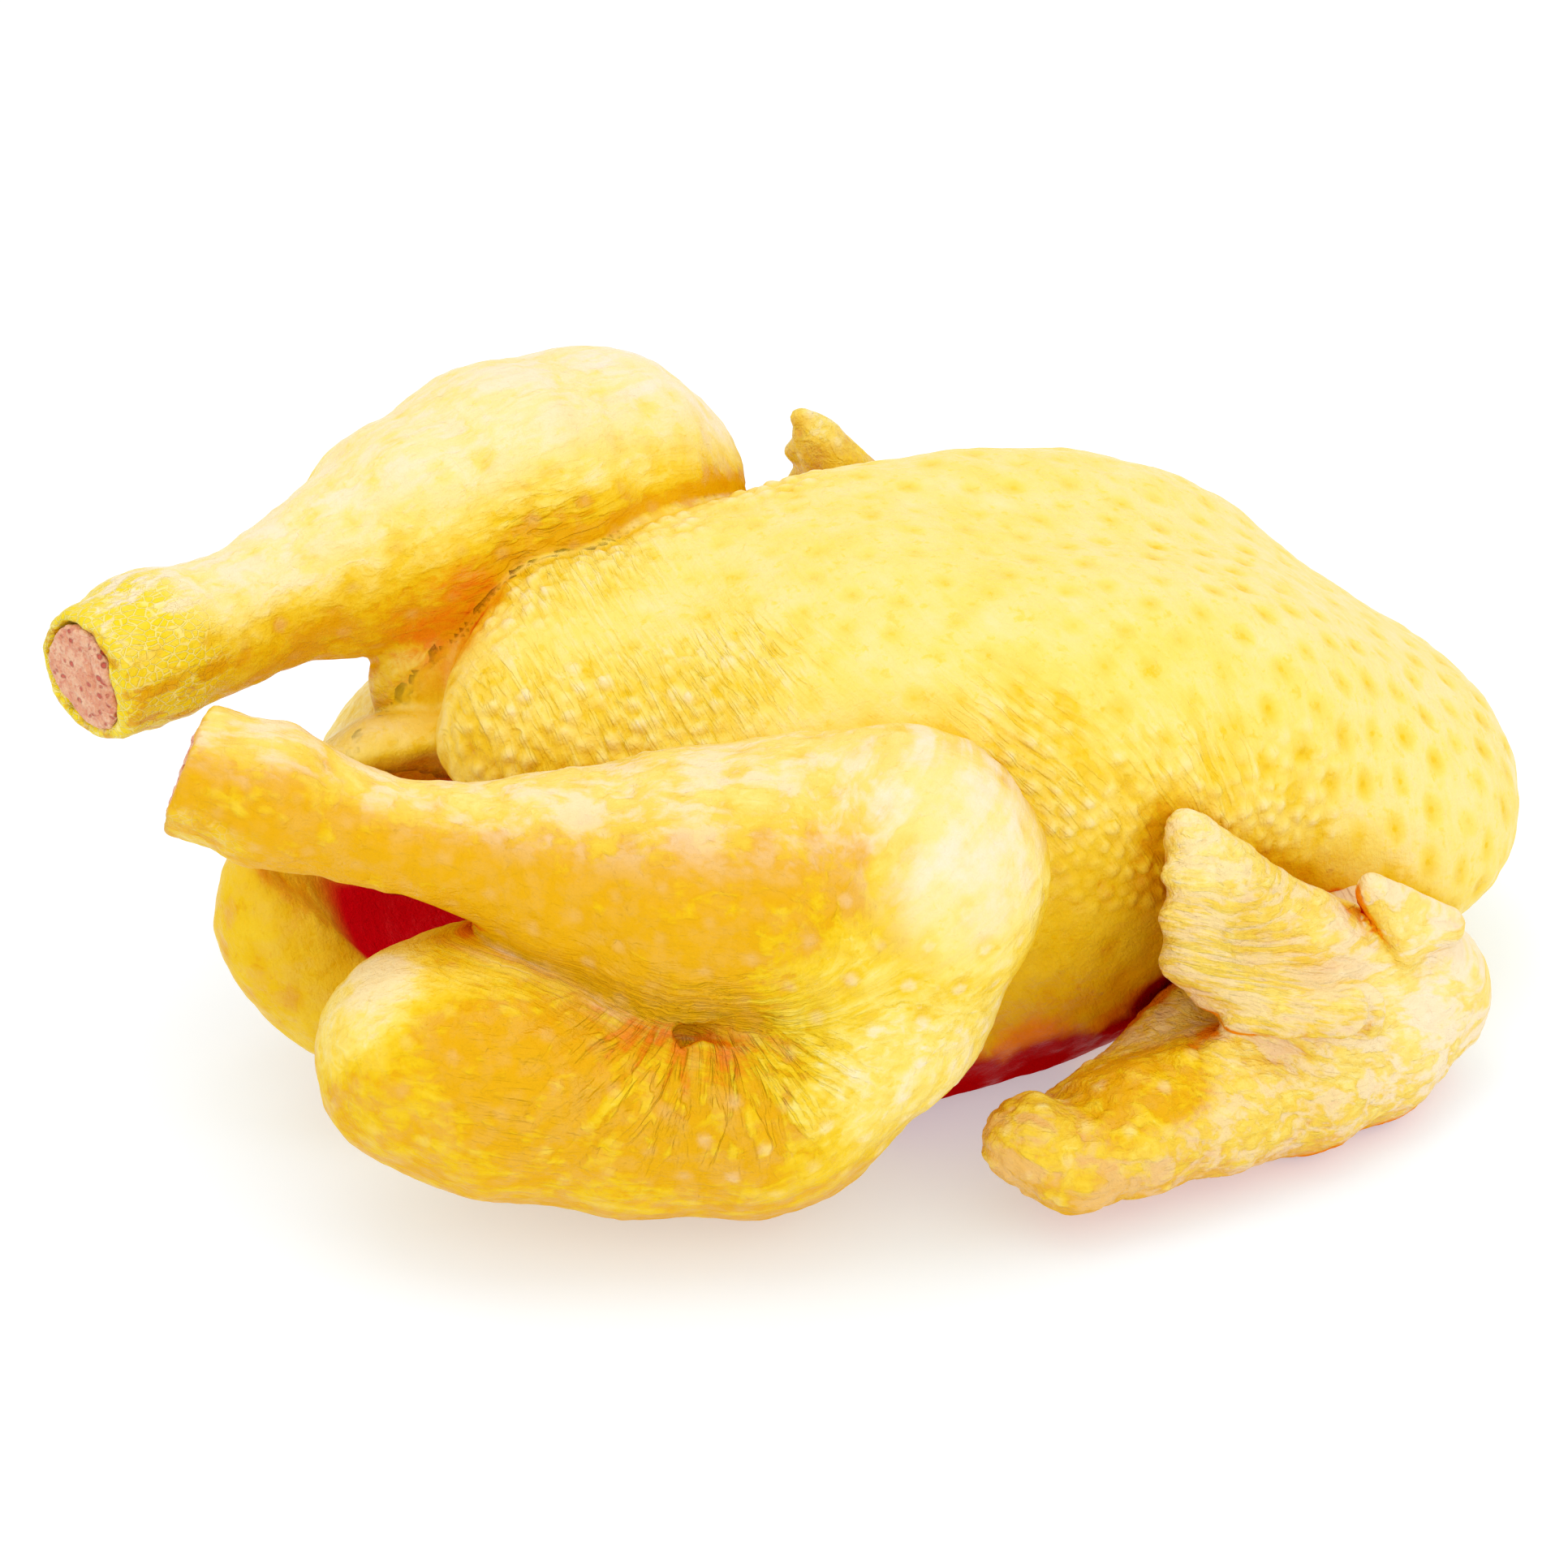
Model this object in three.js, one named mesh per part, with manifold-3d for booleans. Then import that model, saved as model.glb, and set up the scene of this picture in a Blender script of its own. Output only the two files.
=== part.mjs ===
// A whole raw chicken, plucked, drawn and trimmed at the hocks. It lies on its back: the breast is up,
// the drumsticks are drawn up and back over the thighs, and the wings are folded at its sides.
//
// Frame: X runs from the tail to the breast's front, Y to the bird's right side, Z up.
// The origin is on the table, under the middle of the back. Units are millimetres.
//
// The body is grown from rounded forms. Each form is a function of a point that gives the distance to
// its skin, less than zero inside, and the forms flow into each other with a stated blend. A net of
// steady mesh size is then drawn over the whole, so that folds and hollows come out as one skin.

import * as THREE from 'three';
import { mergeVertices } from 'three/addons/utils/BufferGeometryUtils.js';
import Module from 'manifold-3d';

const wasm = await Module();
wasm.setup();

// ---------------------------------------------------------------------------------------------
// Driving dimensions
// ---------------------------------------------------------------------------------------------

const BODY_LENGTH = 180;        // back, from the vent to the shoulders
const BODY_WIDTH = 108;         // across the ribs
const BREAST_HEIGHT = 97;       // table to the top of the breast
const KEEL_TIP = [-49, 0, 71];  // rear end of the breastbone, which juts over the cavity
const CAVITY_RADIUS = 23;       // of the drawn cavity, at its widest
const CAVITY_DEPTH = 84;        // from the vent forwards
const SOCKET_GAP = 0.3;         // between a leg bone and the flesh around it
const BODY_MESH = 7.5;          // net size on the body
const WING_MESH = 4.9;          // net size on the wings, whose skin is thin

// A station on a limb: a place on its middle line, and the limb's radius there.
const station = (x, y, z, radius) => ({ at: [x, y, z], radius });

// The left leg lies a little lower than the right one.
const LEFT_DRUMSTICK = [
  station(-122, -16, 89.6, 11.4),  // past the cut
  station(-116, -18, 87.5, 11.6),  // cut hock
  station(-106, -23, 84, 12.6),    // knuckle of the hock
  station(-88, -32, 77.5, 9.8),    // slender shank
  station(-77, -37, 75.5, 10.6),
  station(-58, -45, 71, 17),       // calf begins
  station(-38, -53, 67, 24.6),
  station(-21, -60, 67.5, 26.6),   // fullest calf
  station(-4, -66, 70, 26.2),      // knee
];
const LEFT_THIGH = [
  station(-4, -66, 70, 26.2),
  station(-12, -61.5, 48.5, 26.6),
  station(-29, -57, 33, 28.6),     // lowest, near the table
  station(-49, -52, 32, 26.5),
  station(-72, -47, 35.5, 24.5),
  station(-84, -44, 37, 21),       // rear lobe, beside the vent
];
const RIGHT_DRUMSTICK = [
  station(-131, 18, 90, 11.6),
  station(-124, 21, 90, 12.2),
  station(-113, 25.5, 90.4, 13.6),
  station(-99, 30, 90, 12),
  station(-86, 34, 91.5, 12.4),
  station(-73, 38, 92.5, 16),
  station(-57, 43, 94.4, 21.4),
  station(-37, 50, 94.6, 25.4),
  station(-18, 58, 91.5, 24.6),
  station(-8, 63, 84.5, 22),
];
const RIGHT_THIGH = [
  station(-8, 63, 84.5, 22),
  station(-10, 60, 60, 27),
  station(-26, 55, 40, 29),
  station(-48, 44, 36, 27),
  station(-64, 34, 38, 22),
];
// The top of the right breast, raised by the leg that leans on it.
const RIGHT_RIDGE = [
  station(20, 25, 67, 28.5),
  station(-12, 23, 73, 21.5),
  station(-36, 16, 77.5, 17),
  station(-45, 12, 77.5, 12.5),
];
const TAIL = [
  station(-50, 4, 25, 22),
  station(-74, 6, 23, 16.5),
  station(-88, 7, 28.5, 12.2),
  station(-96, 7, 39, 9.4),
  station(-99, 7, 49.5, 7),
];
// Loose skin between the right leg and the keel, over the mouth of the cavity.
const GROIN = [
  { centre: [-56.5, 30, 72], halves: [14, 10, 15], tilt: 12 },
  { centre: [-69, 19, 58.5], halves: [20, 12.5, 11], tilt: -12 },
];

// Each hock is cut square across. A cut has its middle, the way it faces, and the bone's radius there.
const LEFT_CUT = { at: [-119.5, -17, 88.5], facing: [-0.8, 0.5, 0.33], bone: 8.6 };
const RIGHT_CUT = { at: [-127.5, 20, 90], facing: [-0.88, -0.46, -0.06], bone: 10.2 };
const BONE_LENGTH = 46;         // how far the leg bone is followed into the shank
const SHAFT_RADIUS = 4.4;       // of the bone behind its knuckle

// A folded wing: forearm along the table, upper arm behind it, and the hand folded back over both.
const LEFT_WING = {
  forearm: [
    station(16, -82, 19, 8.6),     // elbow's skin
    station(23, -85.5, 14.5, 8),
    station(37, -82, 17, 11.2),
    station(54, -79, 17, 12.6),
    station(72, -75, 15.5, 13.4),
    station(89, -68, 15, 14),
    station(103, -60, 18, 14.4),   // wrist
  ],
  upperArm: [
    station(26, -76, 13, 9),
    station(60, -60, 14, 12),
    station(96, -42, 24, 18),      // shoulder
  ],
  fingers: [
    station(103, -60, 20, 12),
    station(76, -66, 38, 7.4),
    station(59, -66, 54, 5),
    station(52, -65, 67, 2.6),     // wing tip
  ],
  hem: [
    station(52, -66, 66, 2.4),
    station(50, -71, 57, 3),
    station(49, -76, 46, 3.4),
    station(58, -81, 36, 3.8),
    station(70, -83, 30.5, 4.4),
    station(83, -79, 29, 4.8),
  ],
  thumb: [
    station(90, -66, 48, 2.2),     // its tip
    station(95, -68, 34, 4),       // its edge over the hand
    station(106, -64, 34, 4.4),    // its root on the wrist
  ],
};
const RIGHT_WING = {
  forearm: LEFT_WING.forearm.map((s) => station(s.at[0] - 12, -s.at[1], s.at[2], s.radius)),
  upperArm: LEFT_WING.upperArm.map((s) => station(s.at[0] - 6, -s.at[1], s.at[2], s.radius)),
  fingers: [
    station(91, 60, 20, 12),
    station(66, 72, 44, 7),
    station(48, 79, 62, 4.2),
    station(37, 84, 78.5, 2.2),
  ],
  hem: [
    station(36, 85, 78, 2.2),
    station(38, 87, 70, 2.8),
    station(41, 88, 56, 3.4),
    station(50, 88, 42, 3.8),
    station(60, 86, 32, 4.6),
    station(72, 80, 28, 4.8),
  ],
  thumb: LEFT_WING.thumb.map((s) => station(s.at[0] - 14, 6 - s.at[1], s.at[2] + 4, s.radius)),
};
const WEB_HALF_THICKNESS = 4.2;    // of the skin between a wing's fingers and its hem
const THUMB_HALF_THICKNESS = 3.8;  // of the flap of skin round a wing's thumb

// ---------------------------------------------------------------------------------------------
// Rounded forms
// ---------------------------------------------------------------------------------------------

const minus = (a, b) => [a[0] - b[0], a[1] - b[1], a[2] - b[2]];
const dot = (a, b) => a[0] * b[0] + a[1] * b[1] + a[2] * b[2];
const cross = (a, b) => [
  a[1] * b[2] - a[2] * b[1],
  a[2] * b[0] - a[0] * b[2],
  a[0] * b[1] - a[1] * b[0],
];
const clamp = (value, low, high) => Math.min(Math.max(value, low), high);

/** The lesser of two distances, with a fillet as wide as blend between the two forms. */
function soften(a, b, blend) {
  const overlap = Math.max(blend - Math.abs(a - b), 0) / blend;
  return Math.min(a, b) - overlap * overlap * blend / 4;
}

const join = (blend, ...forms) => (p) => forms.reduce((d, form) => soften(d, form(p), blend), Infinity);
const carve = (blend, form, tool) => (p) => -soften(-form(p), tool(p), blend);

/** An egg shape with three half-lengths. A tilt turns its front end down, in degrees. */
function egg(centre, halves, tilt = 0) {
  const cos = Math.cos(THREE.MathUtils.degToRad(tilt));
  const sin = Math.sin(THREE.MathUtils.degToRad(tilt));
  return (p) => {
    const q = minus(p, centre);
    const x = q[0] * cos - q[2] * sin;
    const z = q[0] * sin + q[2] * cos;
    const unit = [x / halves[0], q[1] / halves[1], z / halves[2]];
    const slope = [unit[0] / halves[0], unit[1] / halves[1], unit[2] / halves[2]];
    const reach = Math.hypot(...unit);
    return reach * (reach - 1) / Math.max(Math.hypot(...slope), 1e-9);
  };
}

/** The hull of two balls, one at each of two stations. */
function roundCone(from, to) {
  const axis = minus(to.at, from.at);
  const square = dot(axis, axis);
  const taper = from.radius - to.radius;
  const slant = square - taper * taper;
  return (p) => {
    const q = minus(p, from.at);
    const along = dot(q, axis);
    const past = along - square;
    const off = [0, 1, 2].map((i) => q[i] * square - axis[i] * along);
    const off2 = dot(off, off);
    const bend = Math.sign(taper) * taper * taper * off2;
    if (Math.sign(past) * slant * past * past * square > bend) {
      return Math.sqrt(off2 + past * past * square) / square - to.radius;
    }
    if (Math.sign(along) * slant * along * along * square < bend) {
      return Math.sqrt(off2 + along * along * square) / square - from.radius;
    }
    return (Math.sqrt(off2 * slant / square) + along * taper) / square - from.radius;
  };
}

/** A limb that runs through all its stations. */
function limb(stations, blend) {
  const lengths = stations.slice(1).map((next, i) => roundCone(stations[i], next));
  return join(blend, ...lengths);
}

/** A flat web of skin between three corners, with round edges. */
function web(a, b, c, halfThickness) {
  const normal = cross(minus(b, a), minus(c, a));
  const sides = [[a, b], [b, c], [c, a]];
  return (p) => {
    const over = sides.every(([s, e]) => dot(cross(minus(e, s), normal), minus(p, s)) <= 0);
    if (over) return Math.abs(dot(normal, minus(p, a))) / Math.hypot(...normal) - halfThickness;
    const reaches = sides.map(([s, e]) => {
      const edge = minus(e, s);
      const t = clamp(dot(minus(p, s), edge) / dot(edge, edge), 0, 1);
      return Math.hypot(...minus(minus(p, s), edge.map((v) => v * t)));
    });
    return Math.min(...reaches) - halfThickness;
  };
}

// ---------------------------------------------------------------------------------------------
// The bird's own forms
// ---------------------------------------------------------------------------------------------

function torso() {
  const ribs = egg([28, 0, 50], [BODY_LENGTH / 2, BODY_WIDTH / 2, 42]);
  const breastCentreHeight = 59;
  const breastHalves = [76, 34, BREAST_HEIGHT - breastCentreHeight + 1.4];
  const breasts = [
    egg([36, -25, breastCentreHeight], breastHalves, 2.5),
    egg([38, 25.5, breastCentreHeight], breastHalves),
  ];
  const keelFront = { at: [10, 0, 56], radius: 37 };
  const keelRear = { at: KEEL_TIP, radius: 18 };
  const wishboneRear = { at: [20, 0, 67], radius: 29 };
  const wishboneFront = { at: [84, -2, 51], radius: 26 };
  const neck = egg([102, -6, 37], [44, 46, 32], 14);
  const back = egg([8, 0, 21], [95, 50, 30]);
  const chest = join(14, ribs, ...breasts);
  const keeled = join(17, chest, roundCone(keelFront, keelRear), roundCone(wishboneRear, wishboneFront));
  const ridged = join(8, keeled, limb(RIGHT_RIDGE, 8));
  return join(18, join(12, ridged, neck), back);
}

function leg(drumstick, thigh) {
  return join(4, limb(drumstick, 3), limb(thigh, 5));
}

function wing({ forearm, upperArm, fingers, hem, thumb }) {
  const arm = join(4, limb(forearm, 5), limb(upperArm, 8));
  const [beforeTip, tip] = fingers.slice(-2).map((s) => s.at);
  const nearTip = tip.map((v, i) => 0.7 * v + 0.3 * beforeTip[i]);
  const wrist = fingers[0].at;
  const heel = hem[2].at;
  const elbow = hem[4].at;
  const skin = join(
    1,
    web(nearTip, heel, wrist, WEB_HALF_THICKNESS),
    web(heel, elbow, wrist, WEB_HALF_THICKNESS),
  );
  const hand = join(3, join(6, skin, limb(fingers, 6)), limb(hem, 3));
  const flap = web(...thumb.map((s) => s.at), THUMB_HALF_THICKNESS);
  return join(3, arm, join(1.5, hand, join(2, flap, limb(thumb, 2))));
}

function body() {
  const legs = [leg(LEFT_DRUMSTICK, LEFT_THIGH), leg(RIGHT_DRUMSTICK, RIGHT_THIGH)];
  const groin = join(2, ...GROIN.map(({ centre, halves, tilt }) => egg(centre, halves, tilt)));
  const rear = join(5, join(10, torso(), limb(TAIL, 12)), groin);
  const whole = join(5, rear, ...legs);
  const cavity = limb([
    station(-88, 4, 58, 13),
    station(-66, 1, 46, 19),
    station(-30, 0, 46, CAVITY_RADIUS),
    station(-66 + CAVITY_DEPTH, 0, 46, CAVITY_RADIUS + 1),
  ], 8);
  return carve(5, whole, cavity);
}

// ---------------------------------------------------------------------------------------------
// A net over a form
// ---------------------------------------------------------------------------------------------

/** Surface nets: one vertex in each cell that the skin crosses, moved onto the skin. */
function skinOver(form, low, high, step) {
  const counts = [0, 1, 2].map((i) => Math.ceil((high[i] - low[i]) / step) + 1);
  const [nx, ny, nz] = counts;
  const strides = [1, nx, nx * ny];
  const index = (x, y, z) => x + nx * (y + ny * z);
  const place = (x, y, z) => [low[0] + x * step, low[1] + y * step, low[2] + z * step];
  const values = new Float64Array(nx * ny * nz);
  for (let z = 0; z < nz; z += 1) {
    for (let y = 0; y < ny; y += 1) {
      for (let x = 0; x < nx; x += 1) values[index(x, y, z)] = form(place(x, y, z));
    }
  }
  fillDiagonals(values, counts, strides, step);

  const corners = Array.from({ length: 8 }, (_, c) => [c & 1, (c >> 1) & 1, (c >> 2) & 1]);
  const edges = [];
  corners.forEach((_, a) => [1, 2, 4].forEach((bit) => {
    if (!(a & bit)) edges.push([a, a | bit]);
  }));
  const positions = [];
  const vertexOf = new Map();
  for (let z = 0; z < nz - 1; z += 1) {
    for (let y = 0; y < ny - 1; y += 1) {
      for (let x = 0; x < nx - 1; x += 1) {
        const at = corners.map((c) => values[index(x + c[0], y + c[1], z + c[2])]);
        const crossed = edges.filter(([a, b]) => (at[a] < 0) !== (at[b] < 0));
        if (crossed.length === 0) continue;
        const mean = [0, 0, 0];
        for (const [a, b] of crossed) {
          const t = at[a] / (at[a] - at[b]);
          for (let i = 0; i < 3; i += 1) {
            mean[i] += (corners[a][i] + t * (corners[b][i] - corners[a][i])) / crossed.length;
          }
        }
        const start = place(x + mean[0], y + mean[1], z + mean[2]);
        vertexOf.set(index(x, y, z), positions.length / 3);
        positions.push(...settle(form, start, place(x, y, z), step));
      }
    }
  }

  const triangles = [];
  for (let axis = 0; axis < 3; axis += 1) {
    const u = strides[(axis + 1) % 3];
    const v = strides[(axis + 2) % 3];
    for (let here = 0; here + strides[axis] < values.length; here += 1) {
      const inside = values[here] < 0;
      if (inside === (values[here + strides[axis]] < 0)) continue;
      const ring = [here - u - v, here - v, here, here - u].map((cell) => vertexOf.get(cell));
      if (ring.includes(undefined)) continue;
      if (!inside) ring.reverse();
      triangles.push(...splitQuad(ring, positions));
    }
  }
  const geometry = new THREE.BufferGeometry();
  geometry.setAttribute('position', new THREE.Float32BufferAttribute(positions, 3));
  geometry.setIndex(triangles);
  return geometry;
}

/** Grid points that touch only across a diagonal are joined, so the net never pinches to a point. */
function fillDiagonals(values, [nx, ny, nz], strides, step) {
  const slight = -0.05 * step;
  const faces = [[0, 1], [1, 2], [2, 0]];
  let changed = true;
  while (changed) {
    changed = false;
    for (let z = 0; z < nz - 1; z += 1) {
      for (let y = 0; y < ny - 1; y += 1) {
        for (let x = 0; x < nx - 1; x += 1) {
          const here = x + nx * (y + ny * z);
          for (const [a, b] of faces) {
            const ring = [here, here + strides[a], here + strides[a] + strides[b], here + strides[b]];
            const [p, q, r, s] = ring.map((i) => values[i] < 0);
            if (p === r && q === s && p !== q) {
              values[p ? ring[1] : ring[0]] = slight;
              changed = true;
            }
          }
          changed = fillOppositeCorners(values, here, strides, slight) || changed;
        }
      }
    }
  }
}

function fillOppositeCorners(values, here, strides, slight) {
  const cube = Array.from({ length: 8 }, (_, c) => (
    here + (c & 1) * strides[0] + ((c >> 1) & 1) * strides[1] + ((c >> 2) & 1) * strides[2]
  ));
  const filled = cube.filter((i) => values[i] < 0).length;
  if (filled !== 2 && filled !== 6) return false;
  for (let c = 0; c < 4; c += 1) {
    const pair = [cube[c], cube[7 - c]];
    const odd = filled === 2 ? pair.every((i) => values[i] < 0) : pair.every((i) => values[i] >= 0);
    if (!odd) continue;
    const mend = filled === 2 ? [cube[c ^ 1], cube[c ^ 3]] : [pair[0]];
    mend.forEach((i) => { values[i] = slight; });
    return true;
  }
  return false;
}

/** Moves a point onto the skin, down the slope of the distance, without leaving its cell. */
function settle(form, start, cell, step) {
  const probe = 0.2;
  let p = start;
  for (let round = 0; round < 3; round += 1) {
    const slope = [0, 1, 2].map((i) => {
      const ahead = p.map((v, k) => (k === i ? v + probe : v));
      const behind = p.map((v, k) => (k === i ? v - probe : v));
      return (form(ahead) - form(behind)) / (2 * probe);
    });
    const gain = form(p) / Math.max(dot(slope, slope), 0.1);
    const inset = 0.04 * step;
    p = p.map((v, i) => clamp(v - gain * slope[i], cell[i] + inset, cell[i] + step - inset));
  }
  return p;
}

/** Cuts a four-sided patch along its shorter diagonal. */
function splitQuad([a, b, c, d], positions) {
  const at = (i) => positions.slice(3 * i, 3 * i + 3);
  const first = Math.hypot(...minus(at(a), at(c)));
  const second = Math.hypot(...minus(at(b), at(d)));
  return first <= second ? [a, b, c, a, c, d] : [a, b, d, b, c, d];
}

// ---------------------------------------------------------------------------------------------
// Solids
// ---------------------------------------------------------------------------------------------

function toSolid(geometry) {
  const bare = geometry.clone();
  bare.deleteAttribute('normal');
  bare.deleteAttribute('uv');
  const closed = mergeVertices(bare, 1e-4);
  return new wasm.Manifold(new wasm.Mesh({
    numProp: 3,
    vertProperties: new Float32Array(closed.attributes.position.array),
    triVerts: new Uint32Array(closed.index.array),
  }));
}

function toGeometry(solid) {
  const mesh = solid.getMesh();
  const geometry = new THREE.BufferGeometry();
  geometry.setAttribute('position', new THREE.BufferAttribute(mesh.vertProperties, 3));
  geometry.setIndex(new THREE.BufferAttribute(mesh.triVerts, 1));
  geometry.computeVertexNormals();
  return geometry;
}

/** Turns +Y to the way a cut faces and moves the origin to the cut's middle. */
function cutFrame(cut) {
  const facing = new THREE.Vector3(...cut.facing).normalize();
  const turn = new THREE.Quaternion().setFromUnitVectors(new THREE.Vector3(0, 1, 0), facing);
  return new THREE.Matrix4().compose(new THREE.Vector3(...cut.at), turn, new THREE.Vector3(1, 1, 1));
}

/** The sawn end of the leg bone: a broad knuckle at the cut that narrows to the shaft. */
function boneGeometry(radius, grown = 0) {
  const faceHeight = 0.8;
  const profile = [
    [0, -BONE_LENGTH - grown],
    [SHAFT_RADIUS * 0.75 + grown, -BONE_LENGTH + 0.8 - grown],
    [SHAFT_RADIUS + grown, -BONE_LENGTH + 3],
    [SHAFT_RADIUS + grown, -24],
    [radius * 0.68 + grown, -15],
    [radius * 0.95 + grown, -7],
    [radius + grown, -1],
    [radius * 0.96 + grown, faceHeight * 0.4 + grown * 6],
    [radius * 0.6, faceHeight * 0.85 + grown * 8],
    [0, faceHeight + grown * 8],
  ];
  return new THREE.LatheGeometry(profile.map(([r, y]) => new THREE.Vector2(r, y)), 20);
}

/** What the saw takes off past a cut: a block a little wider than the hock. */
function sawnOff(cut) {
  const width = 2 * cut.bone + 10;
  const depth = 22;
  const block = new THREE.BoxGeometry(width, depth, width).translate(0, depth / 2, 0);
  return toSolid(block.applyMatrix4(cutFrame(cut)));
}

function chicken() {
  const rump = toSolid(skinOver(body(), [-152, -112, -14], [156, 112, 136], BODY_MESH));
  const wings = [
    toSolid(skinOver(wing(LEFT_WING), [0, -102, -6], [130, -14, 78], WING_MESH)),
    toSolid(skinOver(wing(RIGHT_WING), [-12, 14, -6], [124, 102, 92], WING_MESH)),
  ];
  const table = toSolid(new THREE.BoxGeometry(400, 400, 40).translate(0, 0, -20));
  let whole = wings.reduce((solid, next) => solid.add(next), rump).subtract(table);
  for (const cut of [LEFT_CUT, RIGHT_CUT]) {
    const socket = boneGeometry(cut.bone, SOCKET_GAP).applyMatrix4(cutFrame(cut));
    whole = whole.subtract(sawnOff(cut)).subtract(toSolid(socket));
  }
  return whole;
}

// ---------------------------------------------------------------------------------------------
// The model
// ---------------------------------------------------------------------------------------------

const group = new THREE.Group();
group.name = 'whole_raw_chicken';

const skinMaterial = new THREE.MeshStandardMaterial({ color: 0xf2d27a, roughness: 0.5, metalness: 0 });
const boneMaterial = new THREE.MeshStandardMaterial({ color: 0xd88f7e, roughness: 0.6, metalness: 0 });

const chickenMesh = new THREE.Mesh(toGeometry(chicken()), skinMaterial);
chickenMesh.name = 'chicken';
group.add(chickenMesh);

for (const [name, cut] of [['leg_bone_left', LEFT_CUT], ['leg_bone_right', RIGHT_CUT]]) {
  const bone = new THREE.Mesh(toGeometry(toSolid(boneGeometry(cut.bone))), boneMaterial);
  bone.name = name;
  bone.applyMatrix4(cutFrame(cut));
  group.add(bone);
}

export default group;
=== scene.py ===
# %% [markdown]
# # A whole raw chicken
# This lesson builds a plucked and drawn chicken that lies on its back, ready for the oven. Everything
# soft on it is one skin over rounded forms, so the lesson first writes those forms as distances, draws
# a fine net over them, and only then gives the skin its goose bumps, creases and colour.
# All lengths of the bird are thought of in millimetres, and become metres when a mesh is made.

# %% Load the frame
import bpy
import math
import numpy as np
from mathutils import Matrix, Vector
from mathutils.kdtree import KDTree


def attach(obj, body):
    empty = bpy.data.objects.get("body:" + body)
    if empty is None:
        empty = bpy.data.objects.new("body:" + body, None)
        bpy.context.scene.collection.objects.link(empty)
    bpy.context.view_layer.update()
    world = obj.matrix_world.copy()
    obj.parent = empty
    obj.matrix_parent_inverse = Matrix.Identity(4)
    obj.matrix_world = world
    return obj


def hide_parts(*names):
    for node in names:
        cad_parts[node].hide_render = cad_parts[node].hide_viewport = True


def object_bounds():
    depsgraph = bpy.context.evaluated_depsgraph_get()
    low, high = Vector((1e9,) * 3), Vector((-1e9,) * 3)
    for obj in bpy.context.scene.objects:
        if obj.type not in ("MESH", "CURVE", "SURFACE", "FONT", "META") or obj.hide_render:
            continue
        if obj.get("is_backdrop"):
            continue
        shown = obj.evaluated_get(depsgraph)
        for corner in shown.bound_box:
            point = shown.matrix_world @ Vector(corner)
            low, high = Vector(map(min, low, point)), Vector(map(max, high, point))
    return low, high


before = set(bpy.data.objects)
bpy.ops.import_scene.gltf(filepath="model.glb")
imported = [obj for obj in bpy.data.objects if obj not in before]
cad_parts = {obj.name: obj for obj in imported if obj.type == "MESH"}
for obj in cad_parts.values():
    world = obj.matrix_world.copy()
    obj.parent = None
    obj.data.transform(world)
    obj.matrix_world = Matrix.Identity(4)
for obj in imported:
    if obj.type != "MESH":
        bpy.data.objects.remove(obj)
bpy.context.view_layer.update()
MM = 0.001
print("nodes to dress:", *sorted(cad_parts))

# %% [markdown]
# ## Camera, light table and lamps
# The bird is looked at from its left and a little behind, from 30 degrees above the table, through a
# long lens, which keeps the near and the far leg alike in size. It lies on a light table, a milky sheet
# that is lit softly from below, so the shadows on it stay pale. A white room lights the bird from all
# round, and two soft lamps, one overhead and one low at its left, give it a top and an underside.

# %% Camera
IMAGE_SIDE = 1932
LOOK_AT = Vector((0.0, 0.0, 0.052))
CAMERA_AZIMUTH = math.radians(-21)
CAMERA_ELEVATION = math.radians(30)
CAMERA_DISTANCE = 1.22
PIXELS_PER_MM = 6.6
SENSOR = 36


def into_scene(name, data):
    """Makes the object that shows a mesh, a lamp or a camera."""
    thing = bpy.data.objects.new(name, data)
    bpy.context.scene.collection.objects.link(thing)
    return thing


def aim(thing, place, direction):
    thing.location = place
    thing.rotation_euler = direction.to_track_quat("-Z", "Y").to_euler()


def add_camera():
    towards = Vector((
        math.sin(CAMERA_AZIMUTH) * math.cos(CAMERA_ELEVATION),
        -math.cos(CAMERA_AZIMUTH) * math.cos(CAMERA_ELEVATION),
        math.sin(CAMERA_ELEVATION),
    ))
    data = bpy.data.cameras.new("camera")
    data.sensor_width = SENSOR
    data.lens = SENSOR * PIXELS_PER_MM * CAMERA_DISTANCE / MM / IMAGE_SIDE
    camera = into_scene("camera", data)
    aim(camera, LOOK_AT + towards * CAMERA_DISTANCE, -towards)
    bpy.context.scene.camera = camera
    print("camera lens, mm:", round(data.lens, 1))


add_camera()

# %% Light table and room
TABLE_HALF_SIDE = 6.0
SHEET_COLOUR = (0.63, 0.67, 0.72, 1)
SHEET_GLOW = (0.88, 0.94, 1.0, 1)
GLOW_STRENGTH = 0.42
WHITE = (1.0, 1.0, 1.0, 1)
ROOM_BRIGHTNESS = 0.98


def new_material(name, constants):
    """A material, with what is the same all over it set on the shader's own sockets."""
    material = bpy.data.materials.new(name)
    material.use_nodes = True
    shader = material.node_tree.nodes["Principled BSDF"]
    for socket, value in constants.items():
        shader.inputs[socket].default_value = value
    return material, shader


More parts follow.
